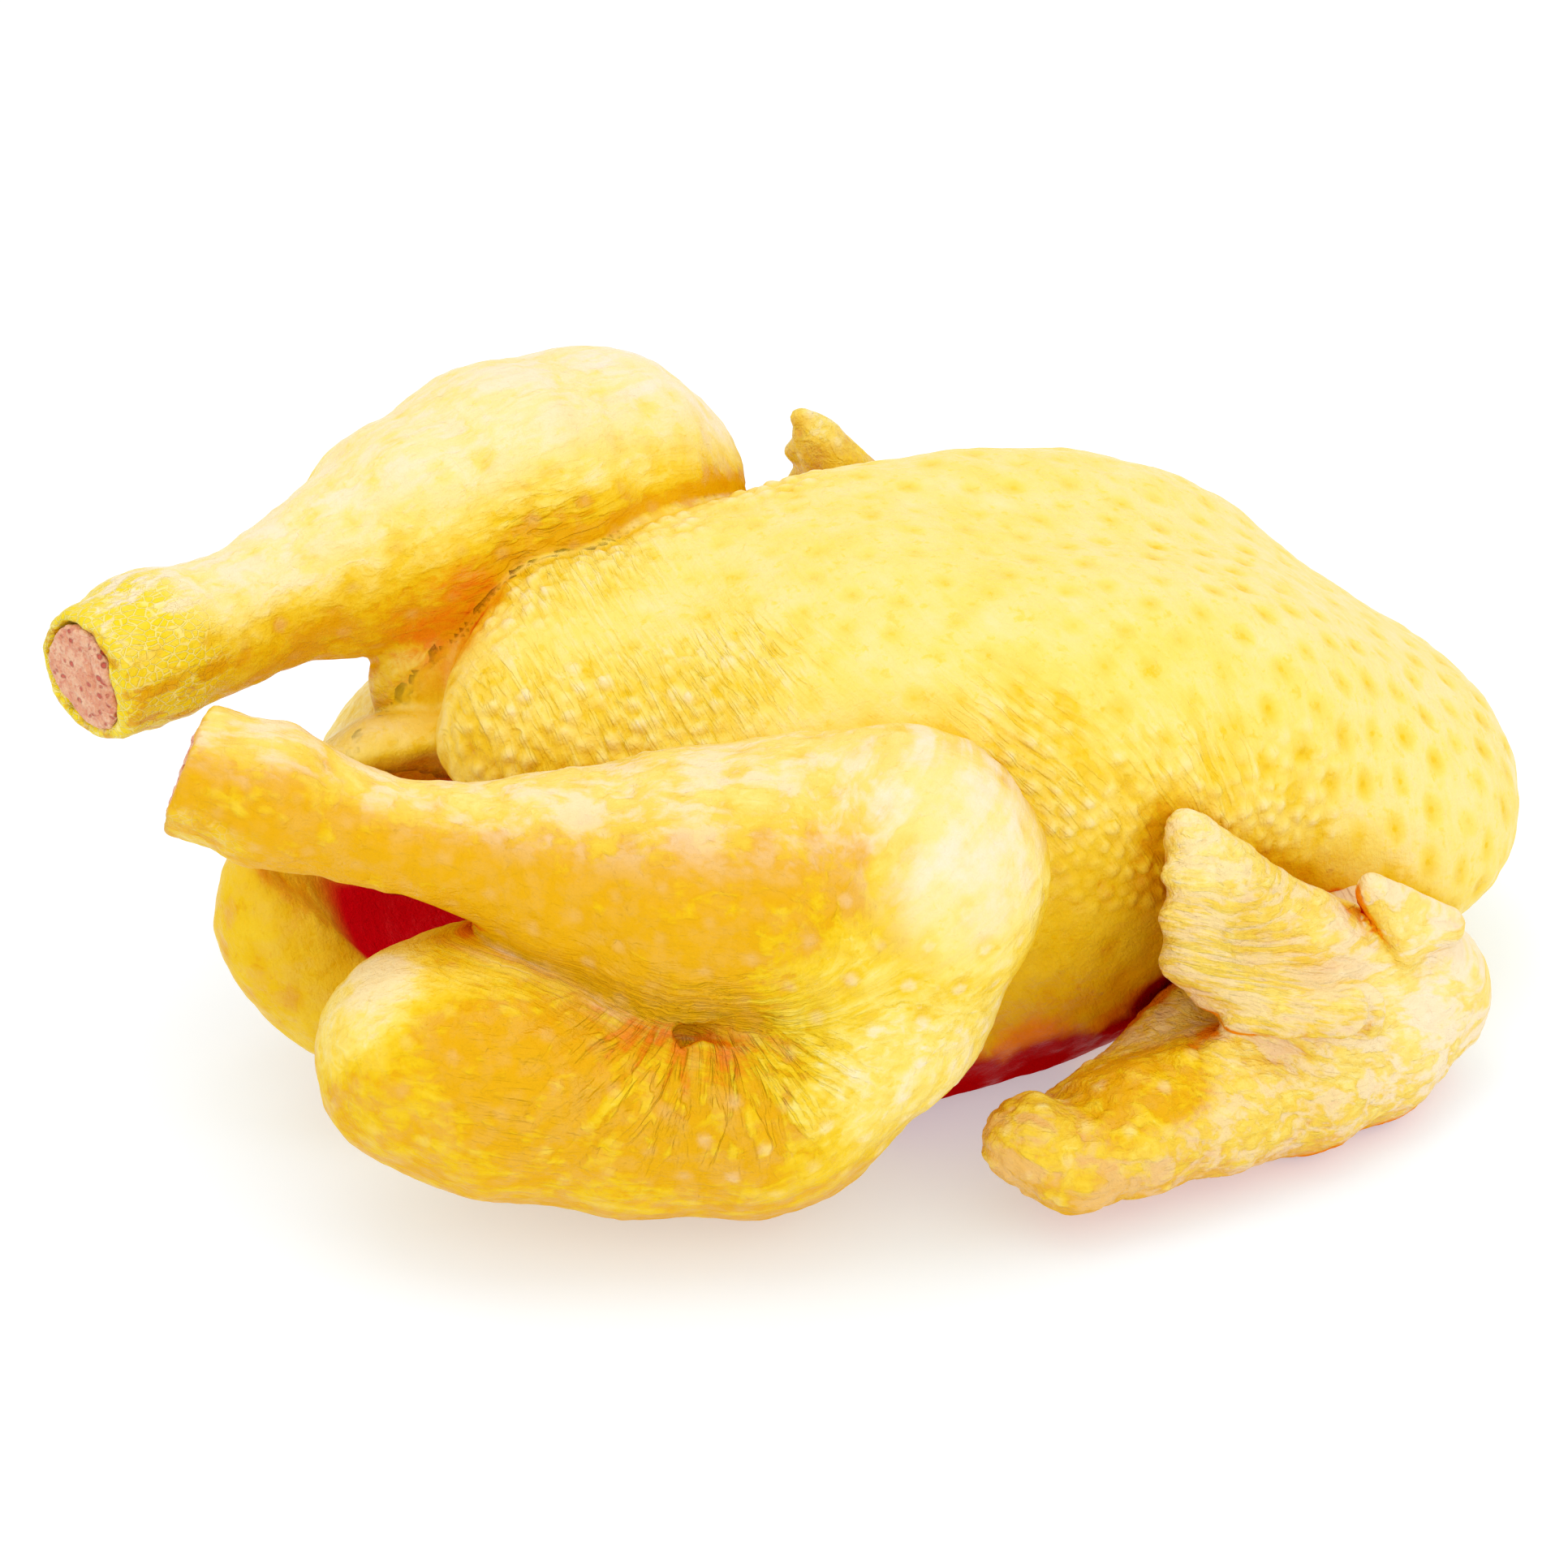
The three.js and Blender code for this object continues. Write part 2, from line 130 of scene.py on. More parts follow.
def add_table(half):
    mesh = bpy.data.meshes.new("table")
    corners = [(-half, -half, 0), (half, -half, 0), (half, half, 0), (-half, half, 0)]
    mesh.from_pydata(corners, [], [(0, 1, 2, 3)])
    sheet, _ = new_material("light_table", {
        "Base Color": SHEET_COLOUR,
        "Emission Color": SHEET_GLOW,
        "Emission Strength": GLOW_STRENGTH,
        "Roughness": 0.6,
        "Specular IOR Level": 0.1,
    })
    mesh.materials.append(sheet)
    table = into_scene("table", mesh)
    table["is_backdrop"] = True


def light_room(strength):
    world = bpy.data.worlds.new("white_room")
    world.use_nodes = True
    background = world.node_tree.nodes["Background"]
    background.inputs["Color"].default_value = WHITE
    background.inputs["Strength"].default_value = strength
    bpy.context.scene.world = world


add_table(TABLE_HALF_SIDE)
light_room(ROOM_BRIGHTNESS)
print("table and room are lit")

# %% Lamps
LAMPS = {
    "overhead": {"place": (-0.2, 0.0, 1.3), "size": 0.8, "power": 2.4},
    "low_fill": {"place": (0.1, -1.1, 0.58), "size": 1.3, "power": 2.0},
}
LAMP_TARGET = (0, 0, 0.05)


def add_lamp(name, place, size, power):
    data = bpy.data.lights.new(name, "AREA")
    data.shape = "DISK"
    data.size = size
    data.energy = power
    aim(into_scene(name, data), place, Vector(LAMP_TARGET) - Vector(place))


for name, lamp in LAMPS.items():
    add_lamp(name, **lamp)
bpy.context.scene.view_settings.view_transform = "Standard"
print("lamps:", *LAMPS)

# %% [markdown]
# ## Rounded forms
# A bird has no flat face and no sharp edge, so each muscle is an egg, each limb a chain of tapered
# tubes, and each web of skin a thick triangle. A form here is a function from points to distances,
# less than zero inside. Distances have one great use: two of them join with a fillet of any width,
# which is just how skin runs over the groove between two muscles. Blender's own metaballs do something
# like it, but they can't be tapered or carved, so these few functions are written in NumPy.


# %% Distances and joints
def station(x, y, z, radius):
    """A place on a limb's middle line, and the limb's radius there, in millimetres."""
    return {"at": np.array([x, y, z], float), "radius": float(radius)}


def chain(*places):
    return [station(*place) for place in places]


def soften(a, b, blend):
    overlap = np.maximum(blend - np.abs(a - b), 0) / blend
    return np.minimum(a, b) - overlap * overlap * blend / 4


def join(blend, *forms):
    def joined(points):
        distance = forms[0](points)
        for form in forms[1:]:
            distance = soften(distance, form(points), blend)
        return distance
    return joined


def carve(blend, form, tool):
    return lambda points: -soften(-form(points), tool(points), blend)


def egg(centre, halves, tilt=0.0):
    cos, sin = math.cos(math.radians(tilt)), math.sin(math.radians(tilt))
    centre, halves = np.array(centre, float), np.array(halves, float)

    def distance(points):
        q = points - centre
        turned = np.stack([
            q[:, 0] * cos - q[:, 2] * sin,
            q[:, 1],
            q[:, 0] * sin + q[:, 2] * cos,
        ], 1) / halves
        reach = np.linalg.norm(turned, axis=1)
        slope = np.linalg.norm(turned / halves, axis=1)
        return reach * (reach - 1) / np.maximum(slope, 1e-9)
    return distance


def round_cone(start, end):
    """The hull of two balls."""
    axis = end["at"] - start["at"]
    square = axis @ axis
    taper = start["radius"] - end["radius"]
    slant = square - taper * taper

    def distance(points):
        q = points - start["at"]
        along = q @ axis
        past = along - square
        off = q * square - np.outer(along, axis)
        off2 = np.einsum("ij,ij->i", off, off)
        bend = np.sign(taper) * taper * taper * off2
        side = (np.sqrt(off2 * slant / square) + along * taper) / square - start["radius"]
        near_start = np.sqrt(off2 + along * along * square) / square - start["radius"]
        near_end = np.sqrt(off2 + past * past * square) / square - end["radius"]
        side = np.where(np.sign(along) * slant * along * along * square < bend, near_start, side)
        return np.where(np.sign(past) * slant * past * past * square > bend, near_end, side)
    return distance


def limb(stations, blend):
    return join(blend, *[round_cone(a, b) for a, b in zip(stations, stations[1:])])


def web(a, b, c, half_thickness):
    """A flat web of skin between three corners, with round edges."""
    a, b, c = (np.array(p, float) for p in (a, b, c))
    normal = np.cross(b - a, c - a)
    sides = [(a, b), (b, c), (c, a)]

    def distance(points):
        over = np.ones(len(points), bool)
        reach = np.full(len(points), np.inf)
        for s, e in sides:
            edge, q = e - s, points - s
            over &= q @ np.cross(edge, normal) <= 0
            t = np.clip(q @ edge / (edge @ edge), 0, 1)
            reach = np.minimum(reach, np.linalg.norm(q - np.outer(t, edge), axis=1))
        height = np.abs((points - a) @ normal) / np.linalg.norm(normal)
        return np.where(over, height, reach) - half_thickness
    return distance


def past_plane(at, facing):
    """How far a point lies past a saw cut."""
    facing = np.array(facing, float) / np.linalg.norm(facing)
    return lambda points: (points - np.array(at, float)) @ facing


# %% [markdown]
# ## The bird's measures
# The places below are the joints and the full and slender parts of each limb, found on a roasting bird
# about 280 mm long. The left leg lies a little lower than the right one, because no bird lies quite even.
# A wing is three lengths: the forearm on the table, the upper arm behind it, and the hand, folded back
# over both, with a web of skin to its hem and the small thumb in front. Under the hand the loose skin
# makes a roll with a deep crease below it, and a fold parts the left calf from the thigh. Each row is a
# place on a middle line, x, y and z, and the radius there.

# %% Measures of the legs
KEEL_TIP = (-49, 0, 71)
RIGHT_RIDGE = chain(           # top of the right breast, raised by the leg it leans on
    (20, 25, 67, 28.5),
    (-12, 23, 73, 21.5),
    (-36, 16, 77.5, 17),
    (-45, 12, 77.5, 12.5),
)
CAVITY_RADIUS = 23
CAVITY_DEPTH = 84

LEFT_DRUMSTICK = chain(
    (-122, -16, 89.6, 11.4),   # past the cut
    (-116, -18, 87.5, 11.6),   # cut hock
    (-106, -23, 84, 12.6),     # knuckle of the hock
    (-88, -32, 77.5, 9.8),     # slender shank
    (-77, -37, 75.5, 10.6),
    (-58, -45, 71, 17),        # calf begins
    (-38, -53, 67, 24.6),
    (-21, -60, 67.5, 26.6),    # fullest calf
    (-4, -66, 70, 26.2),       # knee
)
LEFT_THIGH = chain(
    (-4, -66, 70, 26.2),
    (-12, -61.5, 48.5, 26.6),
    (-29, -57, 33, 28.6),      # lowest, near the table
    (-49, -52, 32, 26.5),
    (-72, -47, 35.5, 24.5),
    (-84, -44, 37, 21),        # rear lobe, beside the vent
)
RIGHT_DRUMSTICK = chain(
    (-131, 18, 90, 11.4),
    (-124, 21, 90, 12),
    (-113, 25.5, 90.4, 13.6),
    (-99, 30, 90, 12),
    (-86, 34, 91.5, 12.4),
    (-73, 38, 92.5, 16),
    (-57, 43, 94.4, 21.4),
    (-37, 50, 94.6, 25.4),
    (-18, 58, 91.5, 24.6),
    (-8, 63, 84.5, 22),
)
RIGHT_THIGH = chain(
    (-8, 63, 84.5, 22),
    (-10, 60, 60, 27),
    (-26, 55, 40, 29),
    (-48, 44, 36, 27),
    (-64, 34, 38, 22),
)
TAIL = chain(
    (-50, 4, 25, 22),
    (-74, 6, 23, 16.5),
    (-88, 7, 28.5, 12.2),
    (-96, 7, 39, 9.4),
    (-99, 7, 49.5, 7),
)
CAVITY = chain(
    (-88, 4, 58, 13),
    (-66, 1, 46, 19),
    (-30, 0, 46, CAVITY_RADIUS),
    (-66 + CAVITY_DEPTH, 0, 46, CAVITY_RADIUS + 1),
)
LEFT_FOLD = chain(
    (-52, -68, 51, 0.4),       # under the calf's edge
    (-46, -72.5, 49.5, 1.7),   # deepest, at the calf's lower corner
    (-37, -80, 53, 1.4),
    (-27, -87, 63, 0.4),       # fades out towards the knee
)
GROIN = [
    {"centre": (-56.5, 30, 72), "halves": (14, 10, 15), "tilt": 12},
    {"centre": (-69, 19, 58.5), "halves": (20, 12.5, 11), "tilt": -12},
]
LEFT_CUT = {"at": (-119.5, -17, 88.5), "facing": (-0.8, 0.5, 0.33), "bone": 8.6}
RIGHT_CUT = {"at": (-127.5, 20, 90), "facing": (-0.88, -0.46, -0.06), "bone": 10.2}

BONE_LENGTH = 46
SHAFT_RADIUS = 4.4
# In shares of the bone's radius: how far aside and how high each lobe, crack point or hole lies.
# A lobe's third number is its own radius.
BONE_LOBES = ((-0.05, 0.34, 0.74), (-0.3, 0.0, 0.7), (0.18, -0.42, 0.66))
BONE_CRACK = ((0.9, -0.06), (0.33, 0.0), (0.18, 0.55), (0.24, 1.1))
TENDON_HOLES = ((-0.64, -0.46), (-0.46, -0.8), (-0.1, -0.98))

# %% Measures of the wings
LEFT_WING = {
    "forearm": chain(
        (16, -82, 19, 8.6),        # elbow's skin
        (23, -85.5, 14.5, 8),
        (37, -82, 17, 11.2),
        (54, -79, 17, 12.6),
        (72, -75, 15.5, 13.4),
        (89, -68, 15, 14),
        (103, -60, 18, 14.4),      # wrist
    ),
    "upper_arm": chain(
        (26, -76, 13, 9),
        (60, -60, 14, 12),
        (96, -42, 24, 18),         # shoulder
    ),
    "fingers": chain(
        (103, -60, 20, 12),
        (76, -66, 38, 7.4),
        (59, -66, 54, 5),
        (52, -65, 67.5, 2.4),      # wing tip
    ),
    "hem": chain(
        (52, -66, 66, 2),
        (50, -71, 57, 2.6),
        (49, -76, 46, 2.8),
        (58, -81, 36, 3),
        (70, -83, 30.5, 4),
        (83, -79, 29, 4.6),
    ),
    "cuff": chain(
        (27, -76, 21, 2.2),
        (38, -81, 26, 2.4),
        (50, -82, 28, 2.4),
        (61, -81, 29.5, 2.4),
    ),
    "thumb": chain(
        (89.5, -66, 48.5, 1),      # its tip
        (95, -69, 34, 2),          # its edge over the hand
        (106, -65, 35, 3),         # its root on the wrist
    ),
    "roll": chain(
        (56, -82.5, 36, 2.6),
        (63, -85.4, 36, 3.4),
        (70.5, -85.2, 35.2, 3.9),
        (76.5, -84.2, 34.4, 4.6),
    ),
    "crease": chain(
        (58.5, -85.4, 34.2, 0.9),
        (62, -86.2, 32.6, 1.3),
        (66, -88, 32, 1.5),
        (70.5, -88.2, 30.6, 1.6),
        (74.3, -87, 28.5, 1.6),
        (78.8, -86.4, 29.8, 1.4),
        (81.5, -86.3, 33, 0.9),
    ),
}


def across(stations, forward=0, outward=0, upward=0):
    """The same stations on the bird's other side, shifted a little."""
    return [
        station(s["at"][0] + forward, outward - s["at"][1], s["at"][2] + upward, s["radius"])
        for s in stations
    ]


RIGHT_WING = {
    "forearm": across(LEFT_WING["forearm"], forward=-12),
    "upper_arm": across(LEFT_WING["upper_arm"], forward=-6),
    "fingers": chain(
        (91, 60, 20, 12),
        (66, 72, 44, 7),
        (48, 79, 62, 4),
        (36.5, 84.5, 82, 1.1),
    ),
    "hem": chain(
        (36, 85.5, 82, 1.1),
        (38, 87, 70, 2.2),
        (41, 88, 56, 2.8),
        (50, 88, 42, 3.2),
        (60, 86, 32, 4.2),
        (72, 80, 28, 4.6),
    ),
    "cuff": across(LEFT_WING["cuff"], forward=-12),
    "thumb": across(LEFT_WING["thumb"], forward=-14, outward=6, upward=4),
    "roll": across(LEFT_WING["roll"], forward=-11, outward=3),
    "crease": across(LEFT_WING["crease"], forward=-11, outward=3),
}
WEB_HALF_THICKNESS = 4.4
RUFFLE_LENGTH = 7.5
RUFFLE_SWING = 2.2
print("stations:", sum(len(v) for v in LEFT_WING.values()), "on a wing")


# %% Torso, legs and wings as forms
def torso_form():
    ribs = egg((28, 0, 50), (90, 54, 42))
    breasts = [
        egg((36, -25, 59), (76, 34, 39.4), 2.5),
        egg((38, 25.5, 58.6), (75, 34, 39.4)),
    ]
    keel = round_cone(station(10, 0, 56, 37), station(*KEEL_TIP, 18))
    wishbone = round_cone(station(20, 0, 67, 29), station(84, -2, 51, 26))
    neck = egg((102, -6, 37), (44, 46, 32), 14)
    back = egg((8, 0, 21), (95, 50, 30))
    chest = join(8, join(17, join(14, ribs, *breasts), keel, wishbone), limb(RIGHT_RIDGE, 8))
    return join(18, join(12, chest, neck), back)


def drumstick_form(stations, cut):
    return carve(1.6, limb(stations, 3), lambda p: -past_plane(cut["at"], cut["facing"])(p))


def at_cut(cut, depth, across=0, above=0, radius=0):
    """A station near a cut, with its offsets from the middle given as shares of the bone's radius."""
    facing = np.array(cut["facing"], float) / np.linalg.norm(cut["facing"])
    aside = np.cross((0, 0, 1), facing)
    aside = aside / np.linalg.norm(aside)
    offset = cut["bone"] * (across * aside + above * np.cross(facing, aside))
    return station(*(np.array(cut["at"]) - depth * facing + offset), radius)


def bone_form(cut):
    """The knuckle's lobes, cut flat, on a shaft that is followed a little way into the leg."""
    neck = at_cut(cut, 15, radius=0.5 * cut["bone"])
    lobes = [
        round_cone(neck, at_cut(cut, -4, across, above, share * cut["bone"]))
        for across, above, share in BONE_LOBES
    ]
    deep_end = at_cut(cut, BONE_LENGTH - SHAFT_RADIUS, radius=SHAFT_RADIUS)
    shaft = round_cone(deep_end, at_cut(cut, 14, radius=SHAFT_RADIUS + 1))
    beyond = past_plane(at_cut(cut, -0.5)["at"], cut["facing"])
    knuckle = carve(1.2, join(1.0, *lobes), lambda points: -beyond(points))
    crack = limb([at_cut(cut, -0.7, across, above, 0.7) for across, above in BONE_CRACK], 0.6)
    return carve(0.6, join(6, knuckle, shaft), crack)


def socket_form(cut):
    """Room for the bone in the cut face of the hock."""
    bone = bone_form(cut)
    deep = past_plane(at_cut(cut, 5)["at"], cut["facing"])
    return lambda points: np.maximum(bone(points) - 0.5, -deep(points))


def ruffled(stations, spacing, swing):
    """The same edge of skin, but crimped from side to side."""
    crimped, turn = [stations[0]], 1
    for a, b in zip(stations, stations[1:]):
        edge = b["at"] - a["at"]
        aside = np.cross(edge, (0.2, 0.9, 0.4))
        aside = aside / np.linalg.norm(aside)
        count = max(1, round(np.linalg.norm(edge) / spacing * 2))
        for i in range(1, count + 1):
            t = i / count
            at = a["at"] + edge * t + aside * swing * turn
            radius = a["radius"] + (b["radius"] - a["radius"]) * t + 0.3 * swing * turn
            crimped.append(station(*at, radius))
            turn = -turn
    return crimped


def wing_form(parts):
    arm = join(4, limb(parts["forearm"], 5), limb(parts["upper_arm"], 8))
    arm = join(2.5, arm, limb(ruffled(parts["cuff"], RUFFLE_LENGTH, 0.6 * RUFFLE_SWING), 1.5))
    wrist, knuckle, tip = (parts["fingers"][i]["at"] for i in (0, -2, -1))
    near_tip = tip * 0.7 + knuckle * 0.3
    heel, elbow = (parts["hem"][i]["at"] for i in (2, 4))
    corners = ((near_tip, heel, wrist), (heel, elbow, wrist))
    skin = join(1, *[web(*three, WEB_HALF_THICKNESS) for three in corners])
    hem = limb(ruffled(parts["hem"], RUFFLE_LENGTH, RUFFLE_SWING), 2)
    hand = join(3, join(6, skin, limb(parts["fingers"], 6)), hem)
    thumb = parts["thumb"]
    flap = web(thumb[0]["at"] + (1, 0, -3), thumb[1]["at"], thumb[2]["at"], 3.4)
    thumb_form = join(2, flap, limb(thumb, 2), round_cone(thumb[0], thumb[2]))
    folded = carve(1, join(2.5, arm, join(1, hand, thumb_form)), limb(parts["crease"], 1))
    return join(0.8, folded, limb(parts["roll"], 2))


torso = torso_form()
left_calf, right_calf = (
    carve(0.8, drumstick_form(stations, cut), socket_form(cut))
    for stations, cut in ((LEFT_DRUMSTICK, LEFT_CUT), (RIGHT_DRUMSTICK, RIGHT_CUT))
)
tendon_holes = join(0.5, *[
    round_cone(at_cut(RIGHT_CUT, 3, across, above, 0.8), at_cut(RIGHT_CUT, -2, across, above, 1.2))
    for across, above in TENDON_HOLES
])
right_calf = carve(0.6, right_calf, tendon_holes)
left_leg = carve(1.8, join(2.5, left_calf, limb(LEFT_THIGH, 5)), limb(LEFT_FOLD, 3))
right_leg = join(2.5, right_calf, limb(RIGHT_THIGH, 5))
tail = limb(TAIL, 12)
groin = join(2, *[egg(**fold) for fold in GROIN])
cavity = limb(CAVITY, 8)
rear = join(4, join(10, torso, tail), groin)
body = carve(2, carve(5, join(2.5, rear, left_leg, right_leg), cavity), lambda p: p[:, 2])
left_wing, right_wing = wing_form(LEFT_WING), wing_form(RIGHT_WING)
print("forms: body, left wing, right wing")

# %% [markdown]
# ## A fine net over the forms
# A surface net puts one vertex in each small cell that the skin crosses, joins the vertices of
# neighbouring cells with four-sided faces, and then slides every vertex down the slope of the distance
# until it lies on the skin. It keeps a steady mesh size, which suits skin that later gets relief
# everywhere. Blender's voxel remesh would do the same, but it softens the folds, so the net is drawn
# here, with the distances worked out only near the skin to save time.


# %% Distances on a grid
def distances_near_skin(form, low, high, step, block=5):
    low, high = np.array(low, float), np.array(high, float)
    blocks = np.ceil((high - low) / (step * block)).astype(int)
    counts = blocks * block
    centres = np.stack(np.meshgrid(*[
        low[i] + step * (block * np.arange(blocks[i]) + (block - 1) / 2) for i in range(3)
    ], indexing="ij"), -1).reshape(-1, 3)
    coarse = form(centres)
    reach = 1.5 * step * block * math.sqrt(3) / 2
    values = np.repeat(np.sign(coarse)[:, None] * reach, block ** 3, axis=1)
    close = np.flatnonzero(np.abs(coarse) < reach)
    offsets = step * (np.stack(np.meshgrid(*[np.arange(block)] * 3, indexing="ij"), -1) - (block - 1) / 2)
    for part in np.array_split(close, max(1, len(close) // 2000)):
        points = centres[part][:, None, :] + offsets.reshape(1, -1, 3)
        values[part] = form(points.reshape(-1, 3)).reshape(len(part), -1)
    values = values.reshape(*blocks, block, block, block).transpose(0, 3, 1, 4, 2, 5)
    return values.reshape(counts)


def fill_diagonals(values, step):
    """Grid points that touch only across a face's diagonal are joined, so the net never pinches."""
    mended = 0
    for _ in range(6):
        found = 0
        inside = values < 0
        for u, v in ((0, 1), (1, 2), (2, 0)):
            def shifted(du, dv):
                cut = [slice(None)] * 3
                cut[u] = slice(du, values.shape[u] - 1 + du)
                cut[v] = slice(dv, values.shape[v] - 1 + dv)
                return tuple(cut)
            p, q, r, s = (inside[shifted(*d)] for d in ((0, 0), (1, 0), (1, 1), (0, 1)))
            first = np.argwhere((p & r) & ~q & ~s)
            second = np.argwhere((q & s) & ~p & ~r)
            first[:, u] += 1
            for spots in (first, second):
                values[tuple(spots.T)] = -0.05 * step
                found += len(spots)
        mended += found
        if not found:
            break
    return mended


# %% The net itself
def net(form, low, high, step):
    values = distances_near_skin(form, low, high, step)
    fill_diagonals(values, step)
    inside = values < 0
    cells = tuple(n - 1 for n in values.shape)
    corner_cuts = [
        tuple(slice((c >> i) & 1, cells[i] + ((c >> i) & 1)) for i in range(3)) for c in range(8)
    ]
    filled = sum(inside[cut].astype(np.int8) for cut in corner_cuts)
    where = np.argwhere((filled > 0) & (filled < 8))
    number = np.full(cells, -1)
    number[tuple(where.T)] = np.arange(len(where))
    at = np.stack([values[tuple((where + [(c >> i) & 1 for i in range(3)]).T)] for c in range(8)], 1)
    total, crossings = np.zeros((len(where), 3)), np.zeros(len(where))
    for a in range(8):
        for bit in range(3):
            b = a | (1 << bit)
            if a == b:
                continue
            crossed = (at[:, a] < 0) != (at[:, b] < 0)
            share = at[:, a] / np.where(crossed, at[:, a] - at[:, b], 1)
            point = np.tile([(a >> i) & 1 for i in range(3)], (len(where), 1)).astype(float)
            point[:, bit] += share
            total += np.where(crossed[:, None], point, 0)
            crossings += crossed
    vertices = np.array(low, float) + step * (where + total / crossings[:, None])
    return vertices, net_faces(inside, number)


def net_faces(inside, number):
    """One four-sided face round every grid edge that goes through the skin."""
    faces = []
    for axis in range(3):
        u, v = (axis + 1) % 3, (axis + 2) % 3
        near, far = [slice(None)] * 3, [slice(None)] * 3
        near[axis], far[axis] = slice(0, -1), slice(1, None)
        for out in (True, False):
            one, other = inside[tuple(near)], inside[tuple(far)]
            edges = np.argwhere(one & ~other if out else ~one & other)
            ring = []
            for du, dv in ((1, 1), (0, 1), (0, 0), (1, 0)):
                cell = edges.copy()
                cell[:, u] -= du
                cell[:, v] -= dv
                ring.append(number[tuple(cell.T)])
            faces.append(np.stack(ring if out else ring[::-1], 1))
    return np.concatenate(faces)


def slope_and_distance(form, points, probe=0.25):
    """The slope of the distance from four probes at the corners of a small tetrahedron."""
    corners = np.array([(1, -1, -1), (-1, -1, 1), (-1, 1, -1), (1, 1, 1)], float)
    readings = [form(points + probe * corner) for corner in corners]
    slope = sum(np.outer(r, corner) for r, corner in zip(readings, corners)) / (4 * probe)
    return slope, sum(readings) / 4


def settle(form, points, step, rounds=2):
    for _ in range(rounds):
        slope, distance = slope_and_distance(form, points)
        steep = np.maximum(np.einsum("ij,ij->i", slope, slope), 0.2)
        move = slope * (distance / steep)[:, None]
        length = np.linalg.norm(move, axis=1, keepdims=True)
        points = points - move * np.minimum(1, 0.6 * step / np.maximum(length, 1e-9))
    slope, _ = slope_and_distance(form, points)
    return points, slope / np.maximum(np.linalg.norm(slope, axis=1, keepdims=True), 1e-9)


# %% Draw the nets
BODY_STEP = 1.0
WING_STEP = 0.8
BONE_STEP = 0.6
BODY_ROOM = (-150, -105, -6), (156, 105, 132)
WING_ROOM = {
    "left": (left_wing, (0, -102, -4), (130, -14, 76)),
    "right": (right_wing, (-12, 14, -4), (124, 102, 90)),
}
BONE_ROOM = 14
body_points, body_faces = net(body, *BODY_ROOM, BODY_STEP)
body_points, body_normals = settle(body, body_points, BODY_STEP)
print("body net:", len(body_points), "vertices,", 2 * len(body_faces), "triangles")
wing_nets = {}
for side, (form, low, high) in WING_ROOM.items():
    points, faces = net(carve(1, form, lambda p: p[:, 2]), low, high, WING_STEP)
    points, normals = settle(form, points, WING_STEP)
    wing_nets[side] = (points, faces, normals)
    print(side, "wing net:", len(points), "vertices,", 2 * len(faces), "triangles")
bone_nets = {}
for side, cut in (("left", LEFT_CUT), ("right", RIGHT_CUT)):
    form, ends = bone_form(cut), [at_cut(cut, depth)["at"] for depth in (-3, BONE_LENGTH)]
    low, high = np.min(ends, axis=0) - BONE_ROOM, np.max(ends, axis=0) + BONE_ROOM
    points, faces = net(form, low, high, BONE_STEP)
    bone_nets[side] = (settle(form, points, BONE_STEP)[0], faces)
    print(side, "bone end:", len(points), "vertices")

# %% [markdown]
# ## What each spot of skin knows
# Skin isn't the same all over. It is tight and pale over the breast, loose and pebbled on the flank, and
# where it is folded in or shut in its colour carries painted shade, from gold over orange to dark red. So
# every vertex of the nets gets a few values worked out from the forms: how shut in it is, how golden, how
# rosy, how bumpy, and where it lies along its limb. They are kept as attributes of the mesh, where
# Geometry Nodes and the shader can both read them.


# %% Ramps and soft patches
def rise(value, start, end):
    """Goes smoothly from 0 at start to 1 at end; end may be the lower one."""
    t = np.clip((value - start) / (end - start), 0, 1)
    return t * t * (3 - 2 * t)


def patch(points, centre, radius):
    """1 at the centre of a round patch, fading out to 0 at its radius."""
    return rise(np.linalg.norm(points - np.array(centre, float), axis=1), radius, 0.35 * radius)


def patches(points, *places):
    return np.max([patch(points, place[:3], place[3]) for place in places], axis=0)


# %% Limbs pulled straight
def straighten(stations, points, softness=4.0):
    """How far along a limb each point is, and its two offsets from the middle line."""
    total, weights, start = 0, 0, 0.0
    side = np.array([0.0, 0.0, 1.0])
    for a, b in zip(stations, stations[1:]):
        length = np.linalg.norm(b["at"] - a["at"])
        along = (b["at"] - a["at"]) / length
        side = side - (side @ along) * along
        side = side / np.linalg.norm(side)
        other = np.cross(along, side)
        q = points - a["at"]
        t = np.clip(q @ along / length, 0, 1)
        off = q - np.outer(t * length, along)
        reach = np.linalg.norm(off, axis=1) - (a["radius"] + t * (b["radius"] - a["radius"]))
        weight = np.exp(-np.clip(reach, -30, 60) / softness)
        here = np.stack([start + t * length, off @ side, off @ other], 1)
        total = total + here * weight[:, None]
        weights = weights + weight
        start += length
    return total / weights[:, None]


# %% How shut in a spot is
FEELERS = ((1.5, 0.6), (4, 1.0), (9, 1.0), (18, 0.9), (32, 0.7))     # length and weight of each


def whole_bird(points):
    return np.minimum.reduce([body(points), left_wing(points), right_wing(points), points[:, 2] + 0.5])


def shut_in(points, normals):
    """Feels outwards from the skin; where something else is soon met, the spot is shut in."""
    closed, shares = 0, 0
    for reach, share in FEELERS:
        free = whole_bird(points + reach * normals) / reach
        closed = closed + share * np.clip(1 - free, 0, 1)
        shares += share
    return closed / shares


